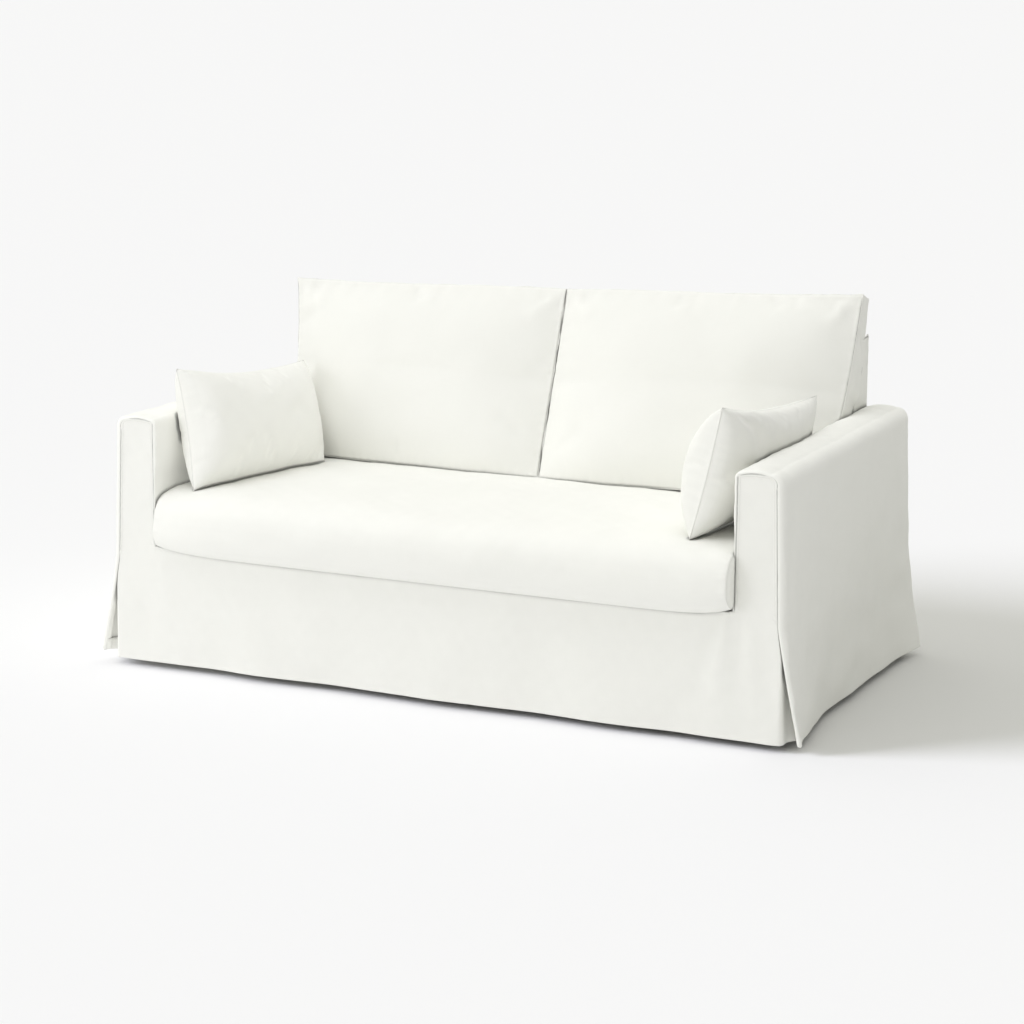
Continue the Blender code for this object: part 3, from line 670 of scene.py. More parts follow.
def inside_back(material):
    """Front face of the back, rolled over its top to the rear seam. Returns its stitch lines."""
    half = HALF_INSIDE - SEAM_GAP
    path = back_path()
    y, z, ny, nz = (path[:, k, None] for k in range(4))
    places = np.concatenate([steps(0.0, half - BAND[-1], 0.012)[:-1], half - BAND[::-1]])
    columns = [(place, half - place, 0.0) for place in places]
    columns = np.array(columns + [(half - inset, inset, depth) for inset, depth in edge_places()])
    x, t, d = np.concatenate([columns[:0:-1] * (-1, 1, 1), columns]).T[:, None]
    length = along_path(path[:, :2])[:, None]
    out = seam_relief(t, length, 211) * smooth((z - 0.63) / 0.03)
    out = out + 0.0010 * ripple(x, length, 213, 0.08, 0.30) * smooth(t / 0.02)
    out = out * (d < 0.001) * smooth((length[-1] - length) / 0.02) - d - edge_roll(t) * (d < NEARLY_FLAT)
    x = x + 0 * out
    xyz = [x, y + ny * out, z + nz * out]
    uv = [x, length + 0 * out]
    piece = sewn_sheet("inside_back_cloth", xyz, quads_of(*out.shape), uv, material, "inside_back")
    grid = np.stack(xyz, -1)
    normal = normals_of(grid)
    stitched = np.flatnonzero((path[:, 1] > ARM_HEIGHT + 0.012) & (path[:, 2] < 0.95) & (path[:, 3] > -0.5))
    lines = [int(np.argmin(np.abs(x[0] - place))) for place in (half - TOPSTITCH, TOPSTITCH - half)]
    return [(grid[stitched, k], normal[stitched, k]) for k in lines]


def gusset(side, material):
    """Small side piece of the back above the arm."""
    sign = 1.0 if side == "right" else -1.0
    top = BACK_TOP - CLOTH
    foot = ARM_TOP - 0.012
    heights = np.concatenate([steps(foot, top - BAND[-1], 0.010)[:-1], top - BAND[::-1]])
    rows = [(z, top - z, 0.0) for z in heights]
    rows = np.array(rows + [(top - inset, inset, depth) for inset, depth in edge_places()])
    z, top_t, top_d = (rows[:, k, None] for k in range(3))
    turn = BACK_TOP - BACK_ROLL
    climb = np.clip((z - turn) / BACK_ROLL, 0, 1)
    start = inside_back_plane(np.minimum(z, turn)) + CLOTH + BACK_ROLL * (1 - np.sqrt(1 - climb ** 2))
    end = rear_plane(z) - CLOTH
    shares = [0.0] * len(RETURN) + list(bordered(BAND / 0.12, 1.0, 0.08)) + [1.0] * len(RETURN)
    depths = np.zeros(len(shares))
    depths[:len(RETURN)] = RETURN[::-1]
    depths[-len(RETURN):] = RETURN
    y = mix(start, end, np.array(shares))
    t = np.minimum(np.maximum(np.minimum(y - start, end - y), 0.0), top_t)
    d = np.maximum(depths, top_d)
    out = seam_relief(t, z + y, 223 if side == "right" else 227)
    out = out + 0.0008 * ripple(y, z, 229, 0.05, 0.15) * smooth(t / 0.02)
    x = HALF_INSIDE - 0.0004 + np.where(d > NEARLY_FLAT, -d, out - edge_roll(t))
    faces = quads_of(*x.shape)
    if side == "left":
        faces = faces[:, ::-1]
    z = z + 0 * y
    piece = sewn_sheet("back_gusset_cloth_" + side, [sign * x, y, z], faces, [y, z], material,
                       "back_gusset_" + side)


def seat_deck(material):
    """The flat platform cloth under the seat cushion, turned down all round."""
    half = HALF_INSIDE - SEAM_GAP
    start, end = front_plane(DECK_TOP) + CLOTH, inside_back_plane(DECK_TOP) - CLOTH
    x, y = np.meshgrid(np.concatenate([[-half, -half], steps(-half, half, 0.016), [half, half]]),
                       np.concatenate([[start, start], steps(start, end, 0.016), [end, end]]))
    z = DECK_TOP + 0.0004 * ripple(x, y, 241, 0.10, 0.40) - 0.0004
    z[rim_of(*z.shape)] -= 0.010
    piece = sewn_sheet("seat_deck_cloth", [x, y, z], quads_of(*z.shape), [x, y], material, "seat_deck")


# ---------------------------------------------------------------- seat cushion

# Outlines (y, z) of the bench cushion at its middle and its ends: from its foot forwards, up and back.
SEAT_MIDDLE = ((0.40, 0.3292), (0.012, 0.3292), (-0.0046, 0.3225), (-0.0060, 0.3122), (-0.0210, 0.3140),
               (-0.0400, 0.3245), (-0.0545, 0.3450), (-0.0600, 0.3770), (-0.0570, 0.4120), (-0.0420, 0.4440),
               (-0.0100, 0.4670), (0.045, 0.4790), (0.18, 0.4875), (0.38, 0.4880), (0.58, 0.4790),
               (0.74, 0.4700), (0.786, 0.4520), (0.800, 0.4000), (0.788, 0.3440), (0.74, 0.3292))
SEAT_END_REAR = ((0.38, 0.4660), (0.58, 0.4620), (0.74, 0.4560), (0.782, 0.4400), (0.794, 0.4000),
                 (0.784, 0.3500), (0.74, 0.3300))
SEAT_RIGHT = ((0.40, 0.3300), (0.10, 0.3300), (0.035, 0.3300), (0.008, 0.3315), (-0.0150, 0.3350),
              (-0.0360, 0.3460), (-0.0510, 0.3640), (-0.0565, 0.3860), (-0.0525, 0.4160), (-0.0430, 0.4400),
              (-0.0250, 0.4590), (0.012, 0.4665), (0.18, 0.4680)) + SEAT_END_REAR
SEAT_LEFT = ((0.40, 0.3300), (0.10, 0.3300), (0.050, 0.3300), (0.012, 0.3298), (-0.0040, 0.3285),
             (-0.0100, 0.3350), (-0.0175, 0.3510), (-0.0215, 0.3740), (-0.0170, 0.4080), (-0.0060, 0.4350),
             (0.0180, 0.4570), (0.075, 0.4675), (0.18, 0.4685)) + SEAT_END_REAR
SEAT_HALF = 0.7932
SEAT_BULGE = 0.0014
SEAT_MID_HEIGHT = 0.400
SEAT_BAND = np.array((0.0, 0.0005, 0.0012, 0.0022, 0.0035, 0.005, 0.0075, 0.011, 0.016, 0.022, 0.030))
SEAT_END_SHARES = (0.012, 0.03, 0.055, 0.09, 0.14, 0.21, 0.30, 0.42, 0.56, 0.72, 0.88, 1.0)


def seat_sections(places, middle):
    """(y, z) round the seat cushion at places across it. Its middle outline turns into those of its ends."""
    is_right = (places > 0)[:, None]
    front = smooth((0.16 - middle[:, 0]) / 0.16)
    low = smooth((0.40 - middle[:, 1]) / 0.06)
    power = mix(3.2, np.where(is_right, 13.0, 7.0), front)
    power = mix(power, np.where(is_right, 14.0, 10.0), low * front)
    weight = np.abs(places / SEAT_HALF)[:, None] ** power
    ends = np.where(is_right[..., None], closed_curve(SEAT_RIGHT), closed_curve(SEAT_LEFT))
    return mix(middle, ends, weight[..., None])


def seat_relief(x, y, z, ring):
    """How far the seat cushion's cloth stands out. It sinks into its end seams and puckers beside them."""
    t = SEAT_HALF - np.abs(x)
    sink = 0.0030 * (smooth(t / 0.014) - 1.0) * (1 - 0.5 * smooth(t / 0.004)) - 0.0010 * bell(t, 0.0012)
    pucker = 0.0007 * ripple(ring, 0.0, 301, 0.018, 0.050) * bell(t - 0.008, 0.014)
    uneven = 0.0016 * ripple(x, ring, 303, 0.16, 0.60) + 0.0004 * ripple(x, ring, 305, 0.04, 0.12)
    pressed = (z < 0.3315) | (y > 0.70)
    return np.where(pressed, 0.0, (sink + pucker + uneven * smooth(t / 0.03)) * smooth((z - 0.345) / 0.05))


def seat_end(rim, ring, end):
    """Rings of an end's boxing panel, from its seam to a line along its middle. end is 1 or -1 (left)."""
    core = np.stack([rim[:, 0], np.clip(rim[:, 1], 0.055, 0.725), np.full(len(rim), SEAT_MID_HEIGHT)], -1)
    wobble = 0.0003 * ripple(ring, 0.0, 307 if end > 0 else 311, 0.02, 0.06)
    rings = []
    for share in SEAT_END_SHARES:
        loop = mix(rim, core, share)
        bulge = SEAT_BULGE * math.sin(math.pi / 2 * min(1.0, share / 0.35)) ** 0.8
        groove = 0.0008 * bell(share, 0.02)
        lip = 0.0035 * smooth((0.004 - loop[:, 1]) / 0.02) * smooth(share / 0.12)
        slack = wobble * math.sin(math.pi * min(1.0, share / 0.4))
        loop[:, 0] = end * (SEAT_HALF + bulge - groove + lip + slack)
        rings.append(loop)
    return rings


def seat_cushion(material):
    """Bench cushion: one cloth wraps over its top, front and underside, with a boxing panel at each end."""
    middle = closed_curve(SEAT_MIDDLE)
    places = bordered(SEAT_BAND, 2 * SEAT_HALF, 0.011) - SEAT_HALF
    yz = seat_sections(places, middle)
    y, z = yz[..., 0], yz[..., 1]
    x = places[:, None] + 0 * y
    ring = along_path(middle)
    out = seat_relief(x, y, z, ring)
    dy, dz = y - np.clip(y, 0.03, 0.74), z - SEAT_MID_HEIGHT
    size = np.maximum(np.hypot(dy, dz), 1e-6)
    grid = np.stack([x, y + dy / size * out, z + dz / size * out], -1)
    left = np.array(seat_end(grid[0], ring, -1.0)[::-1])
    right = np.array(seat_end(grid[-1], ring, 1.0))
    tube = np.concatenate([left, grid, right])
    uv = np.concatenate([left[..., 1:], np.stack([x, ring + 0 * x], -1), right[..., 1:]])
    faces = quads_of(len(tube), len(ring), wrap=True)
    piece = filled("seat_cushion_filled", tube, faces[:, ::-1], uv, material, "seat_cushion")


# ---------------------------------------------------------------- what the loose cushions share

CUSHION_BAND = np.array((0.0, 0.0006, 0.0014, 0.0026, 0.0042, 0.0064, 0.0095, 0.0135, 0.019, 0.026, 0.035))
FACE_APART = 2.0         # between two faces of a cushion in the cloth's coordinates
SWELL_FRAMES = 16
SWELL_LIMIT = 0.010      # how far the filling may move the cloth
SWELL_TENSION = 15.0


def close_ends(piece):
    """Merges the points that a seam or a fan of rings has brought together, and turns all faces outwards."""
    solid = bmesh.new()
    solid.from_mesh(piece.data)
    bmesh.ops.remove_doubles(solid, verts=solid.verts[:], dist=0.00012)
    bmesh.ops.recalc_face_normals(solid, faces=solid.faces[:])
    solid.to_mesh(piece.data)
    solid.free()


def filled(name, points, faces, uv, material, node):
    """A cushion, with its seams closed."""
    piece = add_piece(name, points, faces, uv, material, [node])
    close_ends(piece)
    return piece


def patch(corners, u, v):
    """Points between four corners: foot start, foot end, head start, head end. u and v run from -1 to 1."""
    a, b, c, d = np.array(corners)
    s, t = (u[..., None] + 1) / 2, (v[..., None] + 1) / 2
    return mix(mix(a, b, s), mix(c, d, s), t)


def patch_axes(corners):
    """Unit directions of four corners: along the foot, up, and square to both."""
    a, b, c, d = np.array(corners)
    along, up = (b + d) - (a + c), (c + d) - (a + b)
    along, up = along / np.linalg.norm(along), up / np.linalg.norm(up)
    square = np.cross(along, up)
    return along, up, square / np.linalg.norm(square)


def inflate(points, faces, pressure, pins, bending, grow):
    """Cloth simulation of a closed cover that its filling swells. Returns its points after it."""
    body = add_object("swelling", points.tolist(), faces.tolist())
    group = body.vertex_groups.new(name="pins")
    for weight in np.unique(pins[pins > 0]):
        group.add(np.nonzero(pins == weight)[0].tolist(), float(weight), "REPLACE")
    modifier = body.modifiers.new("swell", "CLOTH")
    settings = modifier.settings
    settings.quality = 6
    settings.mass = 0.25
    settings.tension_stiffness = SWELL_TENSION
    settings.compression_stiffness = SWELL_TENSION
    settings.shear_stiffness = SWELL_TENSION / 3.0
    settings.bending_stiffness = bending
    settings.tension_damping = 12.0
    settings.compression_damping = 12.0
    settings.air_damping = 4.0
    settings.use_pressure = True
    settings.uniform_pressure_force = pressure
    settings.shrink_min = -grow
    settings.effector_weights.gravity = 0.0
    settings.vertex_group_mass = "pins"
    settings.pin_stiffness = 1.0
    modifier.point_cache.frame_start = 1
    modifier.point_cache.frame_end = SWELL_FRAMES
    scene = bpy.context.scene
    scene.frame_start, scene.frame_end = 1, SWELL_FRAMES
    for number in range(1, SWELL_FRAMES + 1):
        scene.frame_set(number)
    swollen = np.empty(len(points) * 3)
    result = body.evaluated_get(bpy.context.evaluated_depsgraph_get())
    result.data.vertices.foreach_get("co", swollen)
    scene.frame_set(1)
    bpy.data.objects.remove(body, do_unlink=True)
    move = swollen.reshape(-1, 3) - points
    size = np.linalg.norm(move, axis=1, keepdims=True)
    return points + move * np.minimum(1.0, SWELL_LIMIT / np.maximum(size, 1e-9))


def seam_puff(t, along, seed, depth, pucker):
    """Height of a cushion's cloth beside a seam: a narrow groove with soft shoulders and short puckers."""
    short = ripple(along, 0.0, seed, 0.014, 0.045) * bell(t - 0.007, 0.011)
    return 0.0006 * bell(t - 0.0060, 0.0035) - depth * bell(t, 0.0022) + pucker * short


def from_seams(su, sv):
    """Distance to the nearest seam round a face, and the place along that seam."""
    tu = np.minimum(su, su[-1] - su)[None, :]
    tv = np.minimum(sv, sv[-1] - sv)[:, None]
    return np.minimum(tu, tv), np.where(tu < tv, sv[:, None], su[None, :])


def box_faces(rows, columns, deep):
    """Faces of a box: a front and a rear grid whose rims are joined by a strip with so many rows."""
    rim_j, rim_i = rim_of(rows, columns)
    rim, count = rim_j * columns + rim_i, rows * columns
    between = 2 * count + np.arange((deep - 2) * len(rim)).reshape(-1, len(rim))
    index = np.concatenate([rim[None], between, count + rim[None]]).ravel()
    strip = index[quads_of(deep, len(rim), wrap=True)]
    face = quads_of(rows, columns)
    return np.concatenate([face, face[:, ::-1] + count, strip[:, ::-1]])


def box_points(front, rear, band):
    return np.concatenate([front.reshape(-1, 3), rear.reshape(-1, 3), band[1:-1].reshape(-1, 3)])


# ---------------------------------------------------------------- back cushions

# Corners of each front face: foot left, foot right, head left, head right.
BACK_CUSHIONS = {
    "left": ((-0.776, 0.620, 0.4784), (0.0375, 0.548, 0.4784),
             (-0.812, 0.778, 0.936), (-0.0045, 0.822, 0.944)),
    "right": ((0.039, 0.548, 0.4784), (0.786, 0.642, 0.4784),
              (-0.003, 0.824, 0.944), (0.812, 0.862, 0.968)),
}
BACK_WIDE = 0.80         # size of a face along its cloth
BACK_TALL = 0.475
BACK_EDGE = 0.097        # width of the boxing strip
BACK_CROWN = 0.056
BACK_FOOT_CROWN = 0.024
BACK_SLUMP = 0.045
BACK_DRAW = {"left": 0.020, "right": -0.003}
BACK_END = {"left": 0.0, "right": 1.0}      # the right cushion's free end stands out past the frame
BACK_CELLS = (36, 60, 8)                    # of the coarse mesh: up, across and deep
BACK_CUSHION_FOLDS = {
    "left": (
        ((0.36, 0.470), (0.40, 0.415), 0.016, -0.0030),
        ((0.02, 0.46), (0.10, 0.39), 0.014, 0.0030),
        ((0.78, 0.46), (0.70, 0.38), 0.016, 0.0030),
        ((0.76, 0.08), (0.66, 0.16), 0.020, -0.0034),
        ((0.79, 0.30), (0.72, 0.24), 0.018, -0.0022),
    ),
    "right": (
        ((0.315, 0.470), (0.335, 0.425), 0.018, -0.0030),
        ((0.56, 0.472), (0.60, 0.430), 0.015, -0.0024),
        ((0.64, 0.470), (0.66, 0.420), 0.016, 0.0018),
        ((0.02, 0.46), (0.09, 0.39), 0.014, 0.0030),
        ((0.78, 0.46), (0.71, 0.38), 0.016, 0.0030),
        ((0.78, 0.10), (0.68, 0.18), 0.022, -0.0030),
        ((0.03, 0.06), (0.14, 0.13), 0.020, -0.0024),
    ),
}


def over_frame(height):
    """0 beside the back's frame and 1 above it, where a cushion is free to lean over."""
    return smooth((height - (BACK_TOP - 0.012)) / 0.010)


def before_frame(face, over):
    """Keeps a face of a cushion in front of the back and above the seat cushion."""
    limit = inside_back_plane(face[..., 2]) - 0.0036
    face[..., 1] = mix(np.minimum(face[..., 1], limit), face[..., 1], over)
    face[..., 2] = np.maximum(face[..., 2], 0.4746)
    return face


def back_front_face(seam, forward, u, v, end):
    """Front face: its seam bent, its foot slumped forward and its middle full."""
    middle = 1 - np.abs(u) ** 4
    full = BACK_CROWN * (1 - np.abs(u) ** 3) * (1 - np.abs(v) ** 3)
    full = full + BACK_FOOT_CROWN * middle * np.maximum(0, -v) * (1 - np.abs(v) ** 7)
    front = seam.copy()
    front[..., 1] += 0.026 * end ** 4 * (1 - v * v) - BACK_SLUMP * middle * ((1 - v) / 2) ** 3
    return before_frame(front + forward * full[..., None], over_frame(seam[..., 2]))


def back_rear_face(seam, forward, head, v, end):
    """Rear face: against the back's frame, upright above it, and lifted and bulging at a free end."""
    rear = seam - forward * BACK_EDGE
    height = rear[..., 2].copy()
    over = over_frame(height)
    leaning = mix(seam[..., 1] - forward[1] * 1.25 * BACK_EDGE, inside_back_plane(height) - 0.0036,
                  smooth((height - 0.50) / 0.13))
    reach = mix(-forward[1] * BACK_EDGE, 0.066, end)
    upright = seam[..., 1] + reach + mix(0.36, 0.26, end) * (head - mix(0.030, 0.020, end) - height) * over
    rear[..., 0] += 0.011 * end ** 6 * smooth((height - 0.668) / 0.04) * (1 - smooth((height - 0.79) / 0.05))
    rear[..., 1] = mix(leaning, upright, over)
    rear[..., 2] += 0.024 * end * smooth((v - 0.75) / 0.25)
    return before_frame(rear, over)


def coarse_back(side):
    """Front, rear and boxing grids of a back cushion, swollen by its filling."""
    rows, columns, deep = BACK_CELLS
    u, v = np.meshgrid(np.linspace(-1, 1, columns + 1), np.linspace(-1, 1, rows + 1))
    corners = BACK_CUSHIONS[side]
    along, up, forward = patch_axes(corners)
    outer = (1 - u if side == "left" else 1 + u) / 2
    dip = mix(-0.5, 1.0, outer) * np.clip(v, 0, 1) * (1 - u ** 2) ** 2
    seam = patch(corners, u, v) - along * (BACK_DRAW[side] * u * outer * (1 - v * v))[..., None]
    seam = seam - up * (0.010 * dip)[..., None]
    end = BACK_END[side] * outer
    front = back_front_face(seam, forward, u, v, end)
    rear = back_rear_face(seam, forward, max(corner[2] for corner in corners), v, end)
    rim = rim_of(*u.shape)
    band = np.stack([mix(front[rim], rear[rim], share) for share in np.linspace(0, 1, deep + 1)])
    points = box_points(front, rear, band)
    pins = np.zeros(len(points))
    pins[rim[0] * (columns + 1) + rim[1]] = 1.0
    pins[u.size:2 * u.size] = 0.9
    pins[points[:, 2] < 0.482] = 0.9
    points = inflate(points, box_faces(rows + 1, columns + 1, deep + 1), 2.0, pins, bending=6.0, grow=0.003)
    front, rear = points[:2 * u.size].reshape(2, rows + 1, columns + 1, 3)
    between = points[2 * u.size:].reshape(deep - 1, -1, 3)
    return front, rear, np.concatenate([front[rim][None], between, rear[rim][None]])


def rim_position(j, i, rows, columns):
    """Place along the coarse rim of points given by fractional row and column."""
    eps = 1e-6
    place = np.where(j < eps, i, 0.0)
    place = np.where((i > columns - eps) & (j >= eps), columns + j, place)
    place = np.where((j > rows - eps) & (i <= columns - eps), columns + rows + (columns - i), place)
    return np.where((i < eps) & (j > eps) & (j <= rows - eps), 2 * columns + rows + (rows - j), place)


def fine_boxing(band, su, sv, seed):
    """The boxing strip, finer, with its seams and slack: its points, and their places along and across it."""
    rows, columns, deep = BACK_CELLS
    rim_j, rim_i = rim_of(len(sv), len(su))
    place = along_path(np.stack([su[rim_i], sv[rim_j]], 1))
    position = rim_position(sv[rim_j] / BACK_TALL * rows, su[rim_i] / BACK_WIDE * columns, rows, columns)
    sw = bordered(CUSHION_BAND[:8], BACK_EDGE, 0.008)
    looped = np.concatenate([band[:, -2:], band, band[:, :3]], 1)
    fine = resample(looped, sw / BACK_EDGE * deep, position + 2)
    normal = normals_of(fine)
    if ((fine - fine.mean((0, 1))) * normal).sum() < 0:
        normal = -normal
    out = seam_puff(np.minimum(sw, BACK_EDGE - sw)[:, None], place[None, :], seed + 3, 0.0007, 0.0003)
    out = out + 0.0012 * ripple(place[None, :], sw[:, None], seed + 4, 0.05, 0.16)
    return fine + normal * (out * smooth((fine[..., 2] - 0.480) / 0.01))[..., None], place, sw


def fine_back_face(side, block, is_front, su, sv, seed):
    """A face of a back cushion, finer, with its seams, slack and folds."""
    rows, columns = BACK_CELLS[:2]
    fine = resample(block, sv / BACK_TALL * rows, su / BACK_WIDE * columns)
    normal = normals_of(fine) * (1.0 if is_front else -1.0)
    t, along = from_seams(su, sv)
    free = smooth((fine[..., 2] - 0.4775) / 0.006) if is_front else 0.4 * smooth((fine[..., 2] - 0.50) / 0.02)
    quiet = 1.0 - 0.6 * bell(BACK_TALL - sv[:, None], 0.02)
    relief = seam_puff(t, along, seed + (0 if is_front else 1), 0.0022, 0.0006) * free * quiet
    slack = 0.0011 * ripple(su[None, :], sv[:, None], seed + 2, 0.10, 0.40) * smooth(t / 0.05)
    relief = relief + slack * free
    if is_front:
        relief = relief + folds(su[None, :], sv[:, None], BACK_CUSHION_FOLDS[side])
    return fine + normal * relief[..., None]


def back_cushion(side, material):
    """Boxed back cushion: front and rear faces sewn to a boxing strip, swollen by its filling."""
    seed = 401 if side == "left" else 431
    front, rear, band = coarse_back(side)
    su, sv = bordered(CUSHION_BAND, BACK_WIDE, 0.0075), bordered(CUSHION_BAND, BACK_TALL, 0.0075)
    front = fine_back_face(side, front, True, su, sv, seed)
    rear = fine_back_face(side, rear, False, su, sv, seed)
    band, place, sw = fine_boxing(band, su, sv, seed)
    rim = rim_of(len(sv), len(su))
    front[rim] = 0.5 * (front[rim] + band[0])
    rear[rim] = 0.5 * (rear[rim] + band[-1])
    points = box_points(front, rear, band)
    points[:, 2] = np.maximum(points[:, 2], 0.4742)
    x, y, z = points.T
    points[:, 1] = np.where(z < BACK_TOP + 0.004, np.minimum(y, inside_back_plane(z) - 0.0032), y)
    uv_face = np.stack(np.meshgrid(su, sv), -1).reshape(-1, 2)
    uv_band = np.stack(np.meshgrid(place, sw[1:-1]), -1).reshape(-1, 2)
    uv = np.concatenate([uv_face, uv_face + FACE_APART, uv_band])
    piece = filled("back_cushion_filled_" + side, points, box_faces(len(sv), len(su), len(sw)), uv, material,
                   "back_cushion_" + side)


# ---------------------------------------------------------------- arm cushions

# Corners of each seam: foot front, foot rear, head front, head rear.
ARM_CUSHIONS = {
    "left": ((-0.704, 0.038, 0.4704), (-0.581, 0.509, 0.4765),
             (-0.772, 0.078, 0.781), (-0.712, 0.632, 0.730)),
    "right": ((0.667, 0.031, 0.4762), (0.705, 0.570, 0.4790),
              (0.735, 0.056, 0.796), (0.772, 0.634, 0.739)),
}
PILLOW_WIDE = 0.58
PILLOW_TALL = 0.33
PILLOW_CELLS = (32, 56)                     # of the coarse mesh: up and across
PILLOW_SWELL = (0.089, 0.062)               # towards the seat, towards the arm
PILLOW_DRAW = (0.035, 0.012, 0.0, 0.145)    # how far its front, rear, foot and head curve in, as shares
PILLOW_HEAD = {"left": 1.0, "right": 0.2}   # how full its seat side is up at the head
PILLOW_FOLDS = (                            # of the side towards the arm, at its dog-ear
    ((0.03, 0.322), (0.17, 0.225), 0.020, -0.0110),
    ((0.10, 0.322), (0.24, 0.250), 0.030, 0.0050),
)


def pillow_form(side):
    """Seat side and arm side of a knife-edge cushion, as grids about its own middle."""
    rows, columns = PILLOW_CELLS
    a, b = np.meshgrid(np.linspace(-1, 1, columns + 1), np.linspace(-1, 1, rows + 1))
    front, rear, foot, head = PILLOW_DRAW
    u = a * PILLOW_WIDE / 2 * (1 - mix(front, rear, (a + 1) / 2) * (1 - b * b))
    v = b * PILLOW_TALL / 2 * (1 - mix(foot, head, (b + 1) / 2) * (1 - a * a))
    blunt = mix(9.0, 2.4, smooth((a + 1) / 1.4))
    over = 0.030 * (1 - a ** 4) * np.sin(math.pi * np.clip((b - 0.45) / 0.55, 0, 1)) ** 0.7

    def lift(fullness):
        upper = fullness * smooth(b + 1)
        up = (1 - np.abs(b) ** mix(2.2, 2.8, upper)) ** mix(0.70, 0.55, upper)
        return (1 - np.abs(a) ** blunt) ** 0.55 * up

    return (np.stack([u, v, PILLOW_SWELL[0] * lift(PILLOW_HEAD[side])], -1),
            np.stack([u, v + over, -PILLOW_SWELL[1] * lift(1.0)], -1))


def coarse_pillow(side):
    """Both sides of a knife-edge cushion as grids that share their rim, swollen by its filling."""
    seat_side, arm_side = pillow_form(side)
    shape = seat_side.shape[:2]
    inner = np.ones(shape, bool)
    inner[rim_of(*shape)] = False
    index = np.arange(inner.size).reshape(shape)
    index[inner] = inner.size + np.arange(inner.sum())
    points = np.concatenate([seat_side.reshape(-1, 3), arm_side[inner]])
    face = quads_of(*shape)
    pins = np.zeros(len(points))
    pins[:inner.size][~inner.ravel()] = 1.0
    faces = np.concatenate([face, index.ravel()[face][:, ::-1]])
    points = inflate(points, faces, 2.5, pins, bending=2.0, grow=0.008)
    return points[:inner.size].reshape(*shape, 3), points[index]


def arm_cushion(side, material):
    """Knife-edge cushion: two cloths sewn all round, filled, set between its four corners."""
    seed = 501 if side == "left" else 531
    seat_side, arm_side = coarse_pillow(side)
    corners = ARM_CUSHIONS[side]
    square = patch_axes(corners)[2] * (1.0 if side == "left" else -1.0)
    half = np.abs(seat_side[[0, 0, -1, -1], [0, -1, 0, -1], :2]).mean(0)
    band = CUSHION_BAND[:9]
    su, sv = bordered(band, PILLOW_WIDE, 0.0065), bordered(band, PILLOW_TALL, 0.0065)
    t, along_seam = from_seams(su, sv)
    layers = []
    for number, block in enumerate((seat_side, arm_side)):
        fine = resample(block, sv / PILLOW_TALL * PILLOW_CELLS[0], su / PILLOW_WIDE * PILLOW_CELLS[1])
        placed = patch(corners, fine[..., 0] / half[0], fine[..., 1] / half[1]) + square * fine[..., 2:]
        normal = normals_of(placed)
        if ((normal * square).sum() < 0) != (number == 1):
            normal = -normal
        relief = seam_puff(t, along_seam, seed + number, 0.0018, 0.0004) * smooth(t / 0.0012)
        relief += 0.0010 * ripple(su[None, :], sv[:, None], seed + 2, 0.06, 0.20) * smooth(t / 0.04)
        if number == 1:
            relief += folds(su[None, :], sv[:, None], PILLOW_FOLDS)
        layers.append(placed + normal * relief[..., None])
    rim = rim_of(*t.shape)
    seam = 0.5 * (layers[0][rim] + layers[1][rim])
    for layer in layers:
        layer[rim] = seam
    face = quads_of(*t.shape)
    uv = np.stack(np.meshgrid(su, sv), -1).reshape(-1, 2)
    piece = filled("arm_cushion_filled_" + side, layers, np.concatenate([face, face[:, ::-1] + t.size]),
                   np.concatenate([uv, uv + FACE_APART]), material, "arm_cushion_" + side)


# ---------------------------------------------------------------- stitching

STITCH_PITCH = 0.0034
STITCH_LENGTH = 0.0026
STITCH_WIDTH = 0.00070
STITCH_HEIGHT = 0.32 * STITCH_WIDTH
STITCH_ROUND = 6
STITCH_RINGS = ((-0.38, 0.8), (0.0, 1.0), (0.38, 0.8))   # place along a stitch and thickness, between tips
STITCH_PROUD = 0.00012
STITCH_SLANT = 0.07


def stitch_shape():
    """Points (across, up, along) and faces of one stitch, a short rounded length of thread."""
    around = 2 * math.pi * np.arange(STITCH_ROUND) / STITCH_ROUND
    points = [(0.0, 0.0, -0.5)]
    for place, wide in STITCH_RINGS:
        points += [(wide * math.cos(angle), wide * math.sin(angle), place) for angle in around]
    points.append((0.0, 0.0, 0.5))
    last, top = len(points) - 1, len(points) - 1 - STITCH_ROUND
    faces = []
    for k in range(STITCH_ROUND):
        m = (k + 1) % STITCH_ROUND
        faces.append((0, 1 + m, 1 + k))
        for low in range(1, top, STITCH_ROUND):
            faces.append((low + k, low + m, low + STITCH_ROUND + m, low + STITCH_ROUND + k))
        faces.append((last, top + k, top + m))
    return np.array(points), faces


def unit(vector):
    return vector / max(np.linalg.norm(vector), 1e-9)


